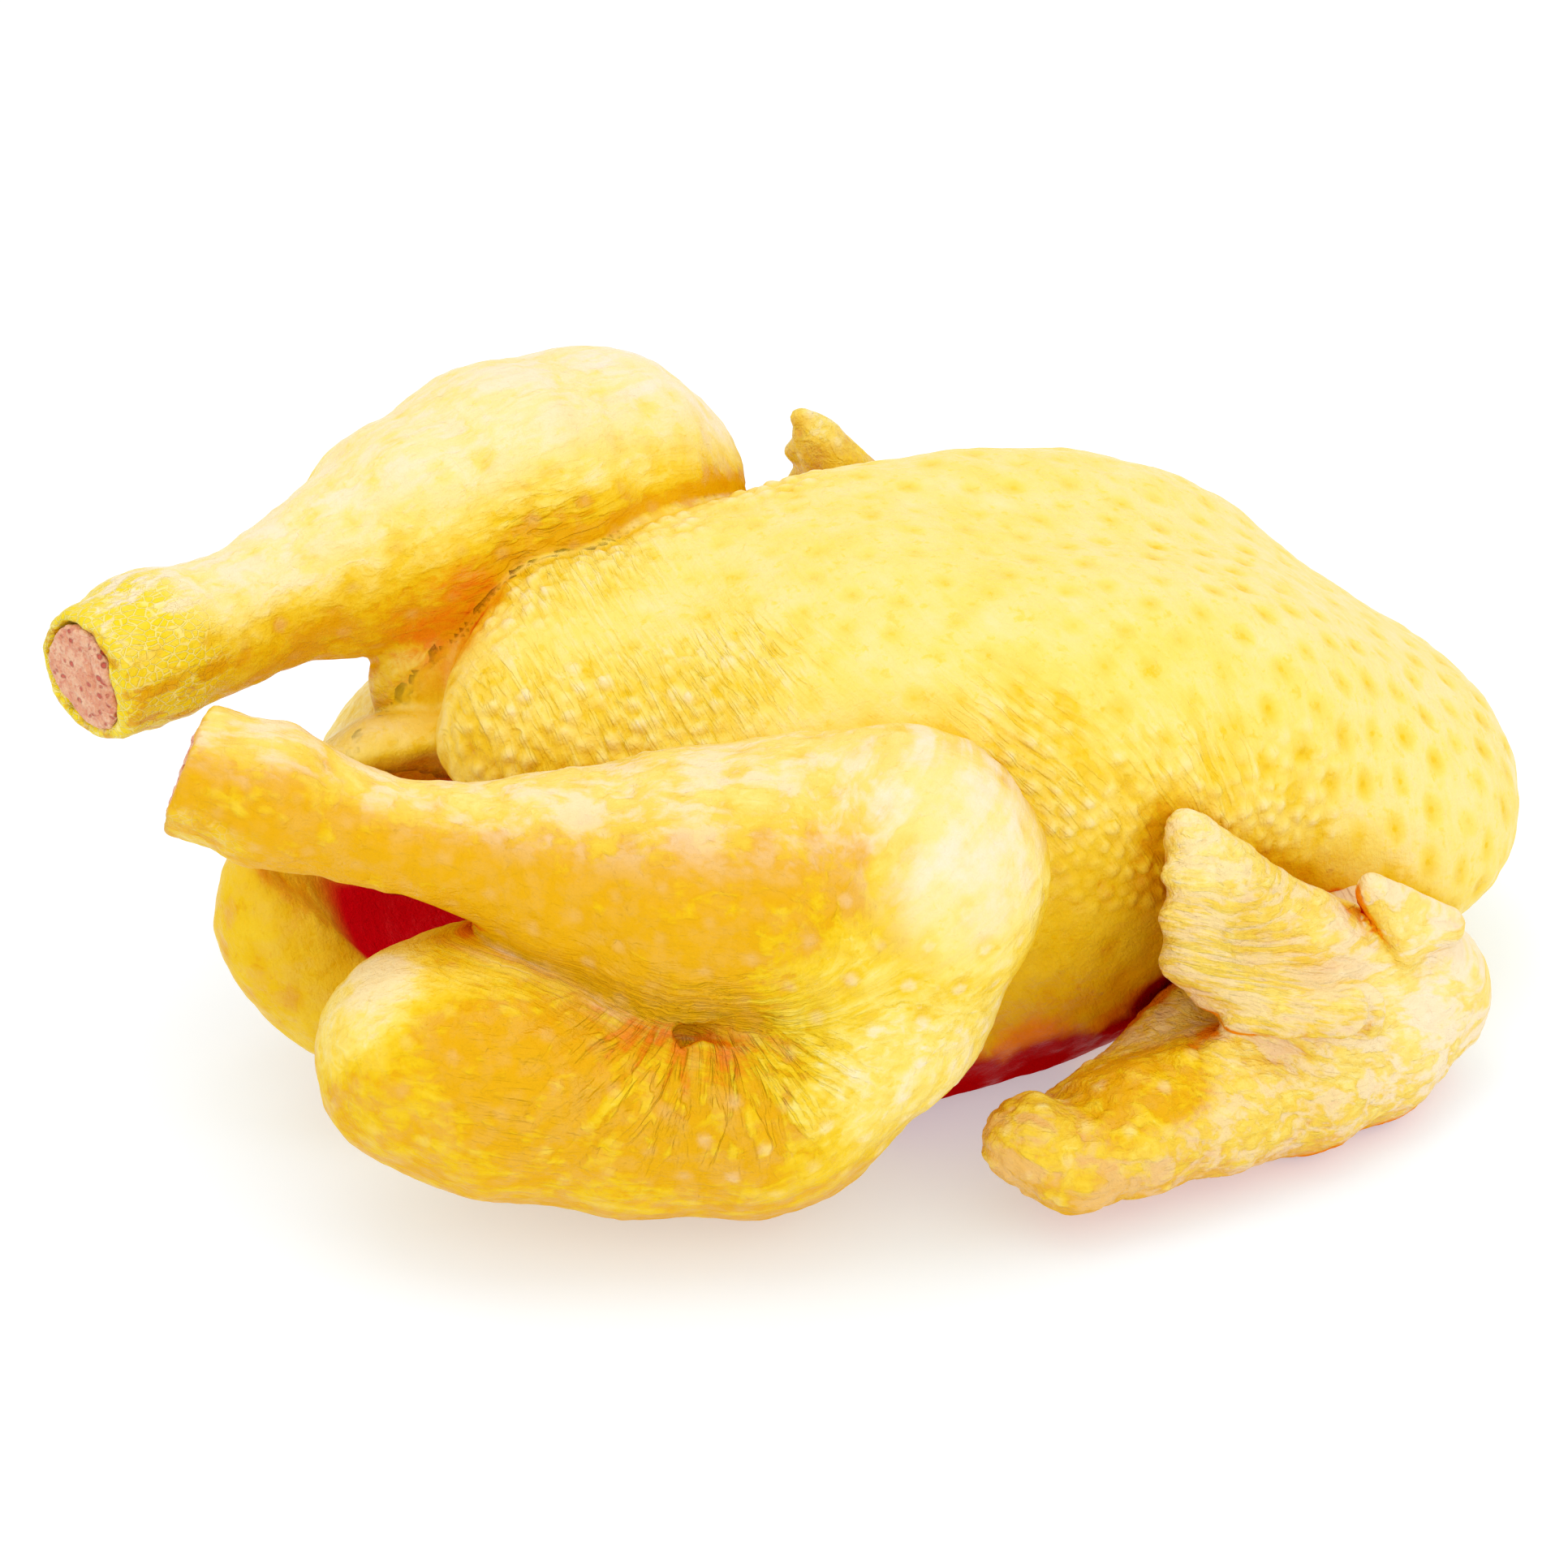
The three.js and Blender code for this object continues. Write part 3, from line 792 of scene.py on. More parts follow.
# %% Places on the body
# A place is x, y, z and the radius of a round patch, at whose edge it has faded out.
WRINKLE_WIDTH = 1.7
WRINKLE_LENGTH = 8.0
FOLD_END = (-42, -74, 60, 60)
# Orange patch on the thigh at the left calf's fold; down in its wrinkles the shader deepens the orange as
# painted shade.
FOLD_ORANGE_PATCH = (-47, -74, 56, 24)
# Painted shade: orange in the groove between the right drumstick and the body.
GROIN_ORANGE_SHADE = (-54, 28, 84, 24)
FLANK_HEIGHT = 60
FAN_FINENESS = 20
TRUNK_LEAN = ((-70, 0.1), (-40, 0.4), (-10, 1.0), (25, 0.8), (60, 0.35), (100, 0.0))
PEBBLED = (
    (-56, -12, 80, 20), (-42, -20, 82, 24), (-26, -24, 86, 20), (-44, 14, 91, 16), (-30, 23, 94, 16),
    (-12, 31, 92, 18), (12, 34, 94, 16), (30, -56, 74, 24), (44, -58, 66, 24), (58, -57, 58, 20),
    (78, -53, 60, 20), (30, 56, 74, 24), (48, 58, 64, 26), (70, 55, 58, 24),
)
WRINKLED = (
    (-56, -12, 80, 28), (-40, -22, 82, 30), (-18, -22, 92, 22), (-36, 20, 92, 24), (26, -52, 80, 24),
    (56, -55, 68, 24), (26, 52, 80, 24), (56, 55, 68, 24), (-44, -76, 44, 34), (-68, -66, 42, 26),
)
DIMPLED = (
    (102, -42, 62, 40), (122, -30, 52, 34), (112, -48, 42, 30), (102, 42, 62, 40), (122, 30, 52, 34),
    (112, 48, 42, 30), (80, -20, 88, 34), (76, -52, 66, 24),
)
GOLDEN = (
    (38, -58, 42, 32), (26, -54, 28, 28), (54, -58, 42, 24), (68, -56, 38, 24), (38, 58, 42, 32),
    (26, 54, 28, 28), (60, 57, 40, 26), (-72, 14, 56, 14),
)
WAXY = ((-78, -60, 58, 32), (-46, -71, 48, 18), (-100, 6, 40, 24))
PALE = ((4, -90, 74, 32), (-8, -90, 50, 42), (-100, -44, 54, 20), (2, 88, 96, 26))
HOCKS = ((-112, -28, 90, 20), (-122, 22, 92, 18))
KNEES = ((4, -85, 87, 28), (0, 66, 108, 28), (2, 84, 98, 22))
# Painted shade, orange, low on the flanks near the table.
FLANK_ORANGE_SHADE = ((30, -52, 13, 17), (48, -54, 13, 15), (14, -48, 10, 18), (30, 52, 16, 20))
# Painted shade, dark red, lower still under the flanks by the table.
FLANK_RED_SHADE = ((14, -44, 4, 24), (34, -46, 4, 22), (50, -48, 7, 15), (30, 46, 4, 22))
SPOTTED = ((-4, -88, 64, 34), (-8, -86, 36, 28), (-40, -78, 30, 16), (0, 84, 78, 30), (-36, 50, 116, 24))


# %% Values for the body's skin
def trunk_grain(points):
    """Wrinkles hang down the flanks, and lean over where the thigh pulls at the skin."""
    x, y, z = points.T
    across = x + (z - FLANK_HEIGHT) * np.interp(x, *zip(*TRUNK_LEAN))
    return np.stack([across / WRINKLE_WIDTH, y / WRINKLE_LENGTH, z / WRINKLE_LENGTH], 1)


def fan_grain(points, centre):
    """Wrinkles that spread from one place, as where a fold ends."""
    x, z = points[:, 0] - centre[0], points[:, 2] - centre[2]
    return np.stack([
        np.arctan2(x, -z) * FAN_FINENESS / WRINKLE_WIDTH,
        np.hypot(x, z) / WRINKLE_LENGTH,
        points[:, 1] / WRINKLE_LENGTH,
    ], 1)


def leg_grain(points, nearer_left):
    """Wrinkles and streaks run along each leg, round the knee."""
    along_left = straighten(LEFT_DRUMSTICK + LEFT_THIGH[1:], points)
    along_right = straighten(RIGHT_DRUMSTICK + RIGHT_THIGH[1:], points)
    along = np.where(nearer_left[:, None], along_left, along_right)
    return along / (WRINKLE_LENGTH, WRINKLE_WIDTH, WRINKLE_WIDTH)


def golden_share(points, up, leg, thigh, nearer):
    """Fat shows golden through the thin skin of the legs, less on the breast. The skin is also painted
    paler where it faces up and more golden where it faces down, as painted light and painted shade.
    """
    golden_left = 0.86 + 0.17 * (1 - thigh) - 0.5 * rise(up, 0.6, 1.0)
    golden_right = 0.86 - 0.62 * rise(up, -0.25, 0.75)
    golden_leg = golden_left * nearer + golden_right * (1 - nearer)
    golden_trunk = 0.34 - 0.14 * up - 0.1 * rise(points[:, 0], 40, 120) + 0.32 * patches(points, *GOLDEN)
    golden_trunk = golden_trunk + 0.25 * rise(torso(points) - tail(points), -2, 4)
    return golden_leg * leg + golden_trunk * (1 - leg)


# %% All the values of the body
def body_values(points, normals):
    x, _, z = points.T
    left, right, hollow = left_leg(points), right_leg(points), cavity(points)
    trunk = np.minimum(torso(points), tail(points))
    leg = rise(trunk - np.minimum(left, right), -3, 3)
    nearer = rise(right - left, -3, 3)
    up = normals[:, 2]
    closed = shut_in(points, normals)
    left_cut, right_cut = (-past_plane(c["at"], c["facing"])(points) for c in (LEFT_CUT, RIGHT_CUT))
    thigh = leg * rise(np.minimum(left_calf(points), right_calf(points)), 0, 6)
    on_trunk = 1 - leg
    on_shank = (leg > 0.5) & (x < -60)
    off_seam = rise(np.abs(leg - 0.5), 0.12, 0.4)
    by_trunk = (leg > 0.3) * rise(trunk, 11, 0.5) * (right < left)
    fanned = patches(points, FOLD_END) * leg * rise(left_calf(points), 0.3, 3)
    knees = patches(points, *KNEES)
    creased = 0.06 + (0.32 + 0.32 * leg) * patches(points, *WRINKLED) + 0.22 * fanned
    edge_of_cavity = rise(hollow, 4.5, 0.5)
    return {
        "grain": np.where(leg[:, None] > 0.5, leg_grain(points, right > left), trunk_grain(points)),
        "fan_grain": fan_grain(points, FOLD_END),
        "fanned": fanned,
        # Where the thigh meets the left calf's fold it is orange; the shader deepens it in the wrinkles
        # as painted shade.
        "sore": patches(points, FOLD_ORANGE_PATCH) * rise(left_calf(points), 0.2, 1.5) * leg,
        "shut_in": closed,
        "lining": (
            rise(hollow, 2.2, -0.5) * rise(x, -93, -80) * np.maximum(rise(z, 57, 51), rise(x, -60, -52))
        ),
        "golden": (
            golden_share(points, up, leg, thigh, nearer) + 0.35 * by_trunk
            + 0.16 * patches(points, *WAXY) - 0.66 * patches(points, *PALE)
        ),
        # Rosy on the knees, and, as painted light, on the upward-facing skin of the drumsticks.
        "rosy": np.clip(leg * (0.7 * rise(up, 0.4, 1) * (1 - thigh) + 0.9 * knees), 0, 1),
        # Painted shade, orange: low on the flanks and in the groove by the right drumstick. The lower rim
        # of the cavity is orange as well.
        "flushed": np.clip(
            patches(points, *FLANK_ORANGE_SHADE) + 0.6 * patches(points, GROIN_ORANGE_SHADE)
            + 0.5 * edge_of_cavity * rise(z, 62, 54), 0, 1
        ),
        # Painted shade, dark red, under the flanks where the skin is shut in near the table.
        "raw": patches(points, *FLANK_RED_SHADE) * on_trunk * rise(closed, 0.1, 0.35),
        "mottled": 0.6 + 0.4 * leg,
        "streaky": (0.15 + 0.85 * leg * (1 - 0.9 * knees)) * off_seam,
        "bumpy": patches(points, *PEBBLED) * on_trunk + 0.1 * leg + 0.45 * patches(points, *HOCKS),
        "spotted": np.clip(0.25 * leg + 0.75 * patches(points, *SPOTTED) * leg, 0, 1),
        "dimpled": (0.55 + 0.45 * patches(points, *DIMPLED)) * on_trunk + 0.8 * leg * (1 - thigh),
        "creased": off_seam * np.clip(creased, 0, 1),
        "scaly": np.where(on_shank, np.maximum(
            rise(right_cut, 26, 12) * rise(left, 2, 20),
            0.5 * rise(left_cut, 20, 8) * rise(right, 2, 20) * rise(up, 0.2, -0.3),
        ), 0),
    }


body_facts = body_values(body_points, body_normals)
for name, values in body_facts.items():
    print(name, "from", round(float(values.min()), 2), "to", round(float(values.max()), 2))


# %% Values for a wing's skin
NOT_ON_WINGS = ("fanned", "sore", "lining", "raw", "dimpled", "scaly")
WING_WRINKLE_LENGTH = 4.0
WING_SOFTNESS = 12.0


def wing_values(parts, points, normals, golden):
    chain_of_wing = parts["forearm"] + parts["fingers"][1:]
    up = normals[:, 2]
    closed = shut_in(points, normals)
    none = np.zeros(len(points))
    near_wrist = patch(points, parts["forearm"][-1]["at"], 50)
    near_elbow = patch(points, parts["forearm"][0]["at"], 38)
    near_tip = patch(points, parts["fingers"][-1]["at"], 20)
    inner = patch(points, parts["cuff"][1]["at"], 18) * rise(up, 0.2, 0.7)
    grain = straighten(chain_of_wing, points, WING_SOFTNESS)
    # Wing skin that faces down is more golden: painted shade.
    golden_skin = 0.76 + golden - 0.24 * up + 0.14 * near_elbow + 0.24 * inner
    return {
        **dict.fromkeys(NOT_ON_WINGS, none),
        "grain": grain / (WING_WRINKLE_LENGTH, WRINKLE_WIDTH, WRINKLE_WIDTH),
        "fan_grain": np.zeros((len(points), 3)),
        "shut_in": closed,
        "golden": golden_skin - 0.2 * near_wrist - 0.3 * near_tip,
        "rosy": np.clip(0.52 + 0.3 * near_wrist - 0.3 * near_elbow - 0.8 * inner - 4 * golden, 0, 1),
        # Shut-in wing skin goes orange: painted shade.
        "flushed": rise(closed, 0.5, 0.85),
        "mottled": none + 1.0,
        "streaky": none + 1.5,
        "bumpy": 0.15 + 0.5 * near_elbow,
        "spotted": none + 0.7,
        "creased": np.clip(0.2 + 0.4 * closed, 0, 1),
    }


# %% Make the meshes
def store(mesh, name, values):
    kind, key = ("FLOAT_VECTOR", "vector") if values.ndim == 2 else ("FLOAT", "value")
    layer = mesh.attributes.new(name, kind, "POINT")
    layer.data.foreach_set(key, values.astype(np.float32).ravel())


def skin_object(name, points, faces, facts):
    mesh = bpy.data.meshes.new(name)
    mesh.vertices.add(len(points))
    mesh.vertices.foreach_set("co", (points * MM).astype(np.float32).ravel())
    mesh.loops.add(4 * len(faces))
    mesh.loops.foreach_set("vertex_index", faces.astype(np.int32).ravel())
    mesh.polygons.add(len(faces))
    mesh.polygons.foreach_set("loop_start", np.arange(0, 4 * len(faces), 4, dtype=np.int32))
    mesh.update(calc_edges=True)
    mesh.validate()
    mesh.shade_smooth()
    for fact, values in {"place": points, **facts}.items():
        store(mesh, fact, values)
    return into_scene(name, mesh)


skins = {"bird_body": skin_object("bird_body", body_points, body_faces, body_facts)}
for side, parts, golden in (("left", LEFT_WING, 0.0), ("right", RIGHT_WING, 0.1)):
    points, faces, normals = wing_nets[side]
    facts = wing_values(parts, points, normals, golden)
    skins[side + "_wing"] = skin_object(side + "_wing", points, faces, facts)
bones = {}
for side, cut in (("left", LEFT_CUT), ("right", RIGHT_CUT)):
    points, faces = bone_nets[side]
    depth = -past_plane(cut["at"], cut["facing"])(points)
    facts = {"bumpy": rise(depth, 6, 3), "depth": depth}
    bones[side + "_bone_end"] = skin_object(side + "_bone_end", points, faces, facts)
print(list(skins), list(bones))

# %% [markdown]
# ## Feather roots and goose bumps
# A plucked bird still shows where each feather grew. Wide apart, they are small pits in a golden halo;
# close together on loose skin, they stand up as goose bumps. Real ones never touch and never leave a
# large gap, which is just what Poisson disk scattering gives, so Geometry Nodes scatters the spots over
# the nets. Each vertex then keeps the way to its own nearest spot, and both the relief and the colour
# are drawn from that.


# %% Wiring for node trees
class Wiring:
    """Adds nodes to a tree, whether the tree moves points or shades them."""

    def __init__(self, tree):
        self.tree = tree

    def add(self, kind, settings=None, **inputs):
        node = self.tree.nodes.new(kind)
        for name, value in (settings or {}).items():
            setattr(node, name, value)
        for name, value in inputs.items():
            self.feed(node.inputs[name.replace("_", " ")], value)
        return node

    def leave(self, geometry):
        """Ends a tree with what comes out of it."""
        self.feed(self.add("NodeGroupOutput").inputs[0], geometry)
        return self.tree

    def feed(self, socket, value):
        if isinstance(value, bpy.types.NodeSocket):
            self.tree.links.new(value, socket)
        else:
            socket.default_value = value

    def attribute(self, name, vector=False):
        """What each spot knows under this name, in either kind of tree."""
        if self.tree.type == "SHADER":
            node = self.add("ShaderNodeAttribute", {"attribute_name": name})
            return node.outputs["Vector" if vector else "Fac"]
        kind = "FLOAT_VECTOR" if vector else "FLOAT"
        node = self.add("GeometryNodeInputNamedAttribute", {"data_type": kind}, Name=name)
        return node.outputs[0]

    def maths(self, operation, *values):
        node = self.add("ShaderNodeMath", {"operation": operation})
        for socket, value in zip(node.inputs, values):
            self.feed(socket, value)
        return node.outputs[0]

    def plus(self, first, *rest):
        for value in rest:
            first = self.maths("ADD", first, value)
        return first

    def times(self, first, *rest):
        for value in rest:
            first = self.maths("MULTIPLY", first, value)
        return first

    def highest(self, first, *rest):
        for value in rest:
            first = self.maths("MAXIMUM", first, value)
        return first

    def less(self, first, second):
        return self.maths("SUBTRACT", first, second)

    def sum_of(self, *pairs):
        """Every value times its weight, added up."""
        return self.plus(*[self.times(value, weight) for value, weight in pairs])

    def stretch(self, vector, scale):
        node = self.add("ShaderNodeVectorMath", {"operation": "MULTIPLY"})
        self.feed(node.inputs[0], vector)
        self.feed(node.inputs[1], scale if isinstance(scale, tuple) else (scale,) * 3)
        return node.outputs[0]

    def length(self, vector):
        node = self.add("ShaderNodeVectorMath", {"operation": "LENGTH"})
        self.feed(node.inputs[0], vector)
        return node.outputs["Value"]

    def rise(self, value, start, end, low=0.0, high=1.0):
        """From low at start to high at end, smoothly; end may be the lower one."""
        node = self.add("ShaderNodeMapRange", {"interpolation_type": "SMOOTHSTEP"})
        if start > end:
            start, end, low, high = end, start, high, low
        for socket, entry in zip(node.inputs, (value, start, end, low, high)):
            self.feed(socket, entry)
        return node.outputs[0]

    def noise(self, vector, size, detail=2.0, roughness=0.5, distortion=0.0):
        """Soft noise; size is the rough width of one blotch in the vector's own units."""
        node = self.add(
            "ShaderNodeTexNoise", None, Vector=self.stretch(vector, 1 / size), Scale=1.0,
            Detail=detail, Roughness=roughness, Distortion=distortion,
        )
        return node.outputs[0]

    def wander(self, *noise):
        """Soft noise that goes as far below 0 as above it."""
        return self.less(self.noise(*noise), 0.5)

    def furrow(self, wandering, width):
        """0 in the bottom of the lines where a noise passes its middle, 1 away from them."""
        return self.rise(self.maths("ABSOLUTE", wandering), 0.0, width)

    def blend(self, share, first, second):
        """Plain numbers: first where the share is 0, second where it is 1."""
        return self.plus(first, self.times(share, self.less(second, first)))

    def mix(self, share, first, second):
        node = self.add("ShaderNodeMix", {"data_type": "RGBA"})
        for socket, value in ((node.inputs[0], share), (node.inputs[6], first), (node.inputs[7], second)):
            self.feed(socket, value)
        return node.outputs[2]

    def bump(self, height):
        """A bump whose height is in millimetres."""
        return self.add("ShaderNodeBump", None, Height=height, Strength=1.0, Distance=MM).outputs[0]

    def ramp(self, value, stops):
        node = self.add("ShaderNodeValToRGB", None, Fac=value)
        elements = node.color_ramp.elements
        while len(elements) < len(stops):
            elements.new(0.5)
        for element, (position, colour) in zip(elements, stops):
            element.position = position
            element.color = (*colour, 1)
        return node.outputs["Color"]


# %% Scatter spots over the skin
MOST_SPOTS_PER_M2 = 4e6


def geometry_tree(name, inputs):
    """A tree that takes and gives geometry, and has these named inputs as well."""
    tree = bpy.data.node_groups.new(name, "GeometryNodeTree")
    for label, kind in {"Geometry": "Geometry", **inputs}.items():
        tree.interface.new_socket(label, in_out="INPUT", socket_type="NodeSocket" + kind)
    tree.interface.new_socket("Geometry", in_out="OUTPUT", socket_type="NodeSocketGeometry")
    w = Wiring(tree)
    return w, w.add("NodeGroupInput").outputs


def scatter_tree():
    w, entry = geometry_tree("scatter_spots", {"Apart": "Float", "Seed": "Int"})
    spots = w.add(
        "GeometryNodeDistributePointsOnFaces", {"distribute_method": "POISSON"}, Mesh=entry["Geometry"],
        Distance_Min=entry["Apart"], Density_Max=MOST_SPOTS_PER_M2, Seed=entry["Seed"],
    )
    vertices = w.add("GeometryNodePointsToVertices", None, Points=spots.outputs["Points"])
    return w.leave(vertices.outputs[0])


def set_inputs(modifier, tree, **values):
    """Sets a modifier's inputs by the identifiers of the sockets with these names."""
    for item in tree.interface.items_tree:
        if item.item_type == "SOCKET" and item.in_out == "INPUT" and item.name in values:
            modifier[item.identifier] = values[item.name]


def run_tree(piece, tree, **values):
    """Runs a tree on a piece and gives back the plain mesh that comes out."""
    modifier = piece.modifiers.new(tree.name, "NODES")
    modifier.node_group = tree
    set_inputs(modifier, tree, **values)
    ready = piece.evaluated_get(bpy.context.evaluated_depsgraph_get())
    mesh = bpy.data.meshes.new_from_object(ready)
    piece.modifiers.remove(modifier)
    return mesh


scatter = scatter_tree()


# %% The way from each vertex to its spot
SPOT_SIZES = (0.45, 1.0)


def spots_near(piece, apart, seed):
    """For each vertex: the way from its nearest spot, how much nearer that one is, and its size."""
    cloud = run_tree(piece, scatter, Apart=apart * MM, Seed=seed)
    tree = KDTree(len(cloud.vertices))
    for i, vertex in enumerate(cloud.vertices):
        tree.insert(vertex.co, i)
    tree.balance()
    sizes = np.random.default_rng(seed).uniform(*SPOT_SIZES, len(cloud.vertices))
    count = len(piece.data.vertices)
    way, room, size = np.zeros((count, 3)), np.zeros(count), np.zeros(count)
    for i, vertex in enumerate(piece.data.vertices):
        first, second = tree.find_n(vertex.co, 2)
        way[i] = vertex.co - first[0]
        room[i] = second[2] - first[2]
        size[i] = sizes[first[1]]
    bpy.data.meshes.remove(cloud)
    return way / MM, room / MM, size


def store_roots(piece, apart, seed):
    way, room, size = spots_near(piece, apart, seed)
    store(piece.data, "from_root", way)
    store(piece.data, "root_size", size * rise(room, 0.18 * apart, 0.42 * apart))


def store_pebbles(piece, apart, seed):
    """Each goose bump is a low dome that meets its neighbours in narrow valleys."""
    way, room, size = spots_near(piece, apart, seed)
    dome = rise(np.linalg.norm(way, axis=1), 0.68 * apart, 0.1 * apart)
    store(piece.data, "pebble", size * rise(room, 0, 0.55 * apart) * (0.4 + 0.6 * dome))


FEATHER_ROOTS_APART = {"bird_body": 8.5, "left_wing": 7.0, "right_wing": 7.0}
GOOSE_BUMPS_APART = {"bird_body": 3.3, "left_wing": 3.6, "right_wing": 3.6}
BONE_GRAINS_APART = 1.7
SKIN_SEED, BONE_SEED = 7, 17
for seed, (name, piece) in enumerate(skins.items(), SKIN_SEED):
    store_roots(piece, FEATHER_ROOTS_APART[name], seed)
    store_pebbles(piece, GOOSE_BUMPS_APART[name], seed)
    print(name, "has its feather roots and goose bumps")
for seed, (name, piece) in enumerate(bones.items(), BONE_SEED):
    store_pebbles(piece, BONE_GRAINS_APART, seed)
    print(name, "has its grains")

# %% [markdown]
# ## Relief
# The larger part of the skin's relief is real shape: goose bumps, dimples round the feather roots, nubs,
# folds along the grain, and the slow unevenness of the flesh below. A Geometry Nodes tree pushes every
# vertex out or in along its normal by the height that those add up to. The finest creases are narrower
# than the net, so they are left to the material.


# %% Heights that both trees share
def pebble_height(w):
    uneven = w.rise(w.noise(w.attribute("place", True), 7.0, 2.0), 0.32, 0.58, 0.25, 1.0)
    return w.times(w.attribute("pebble"), w.attribute("bumpy"), uneven)


def nub_height(w):
    ragged = w.times(w.noise(w.attribute("place", True), 1.3, 2.0), 1.6)
    nub = w.rise(w.plus(w.length(w.attribute("from_root", True)), ragged), 2.9, 1.0)
    return w.times(nub, w.attribute("root_size"), w.attribute("spotted"))


def dimple_height(w):
    """A feather root on the breast sits in an upright dimple."""
    away = w.length(w.stretch(w.attribute("from_root", True), (1.0, 1.0, 0.55)))
    return w.times(w.rise(away, 3.3, 0.4), w.attribute("root_size"), w.attribute("dimpled"), -1.0)


def fold_height(w, size=2.6, width=0.11):
    """Wrinkles along the grain, and along the fan where skin spreads from the end of a fold."""
    straight, spread = (
        w.furrow(w.wander(w.attribute(name, True), size, 2.0, 0.5, 0.6), width)
        for name in ("grain", "fan_grain")
    )
    folds = w.blend(w.attribute("fanned"), straight, spread)
    return w.times(w.less(folds, 1.0), w.attribute("creased"))


def leather_height(w):
    """The loose skin of the fan is uneven along its wrinkles."""
    return w.times(w.wander(w.attribute("fan_grain", True), 5.0, 2.0), w.attribute("fanned"))


# %% The tree that raises the relief
RELIEF_INPUTS = ("Bump height", "Nub height", "Dimple depth", "Fold depth", "Unevenness")


def relief_tree():
    w, entry = geometry_tree("skin_relief", {**dict.fromkeys(RELIEF_INPUTS, "Float"), "Skin": "Material"})
    read = w.attribute
    place = read("place", True)
    slow, quick = w.wander(place, 17.0, 2.0), w.wander(place, 5.0, 1.0)
    folds = w.plus(fold_height(w), w.times(fold_height(w, 1.3, 0.14), 0.35))
    height = w.sum_of(
        (pebble_height(w), entry["Bump height"]),
        (nub_height(w), entry["Nub height"]),
        (dimple_height(w), entry["Dimple depth"]),
        (folds, entry["Fold depth"]),
        (leather_height(w), 3.8),
        (w.plus(slow, w.times(quick, 0.35)), entry["Unevenness"]),
    )
    push = w.add("ShaderNodeVectorMath", {"operation": "SCALE"})
    w.feed(push.inputs[0], w.add("GeometryNodeInputNormal").outputs[0])
    w.feed(push.inputs["Scale"], w.times(height, w.less(1.0, read("lining")), MM))
    move = w.add("GeometryNodeSetPosition", None, Geometry=entry["Geometry"], Offset=push.outputs[0])
    whole = w.add("GeometryNodeRealizeInstances", None, Geometry=move.outputs[0])
    finish = w.add("GeometryNodeSetMaterial", None, Geometry=whole.outputs[0], Material=entry["Skin"])
    return w.leave(finish.outputs[0])


relief = relief_tree()

# %% [markdown]
# ## Skin
# Raw chicken skin is pale butter yellow where it is stretched, golden where fat shows through, and rosy
# white on the goose bumps. The material paints light and shade into those colours as well: paler on top,
# more golden underneath and in the hollows of the relief, and over orange to dark red where the skin is
# folded in on itself or shut in low by the table. The material mixes those colours from the values each
# spot knows. Light that scatters below the skin would hardly show at this size and takes long to work
# out, so the colours hold that warmth instead.

# %% Colours of the skin
SKIN_TONES = (
    (0.0, (0.96, 0.79, 0.40)),
    (0.3, (0.96, 0.73, 0.14)),
    (0.58, (0.91, 0.61, 0.025)),
    (0.8, (0.86, 0.53, 0.004)),
    (1.0, (0.81, 0.41, 0.002)),
)
ROSY = (0.96, 0.79, 0.63, 1)
# Orange is painted shade where the skin is shut in or low under the flanks, and also the colour of the
# fold on the left thigh and of the cavity's lower rim.
ORANGE = (0.87, 0.24, 0.004, 1)
# Dark red is only used for painted shade.
SHADE_DARK_RED = (0.45, 0.001, 0.002, 1)
LINING_RED = (0.86, 0.001, 0.01, 1)
SCALE_YELLOW = (0.92, 0.68, 0.012, 1)
SCALE_PALE = (0.96, 0.78, 0.2, 1)


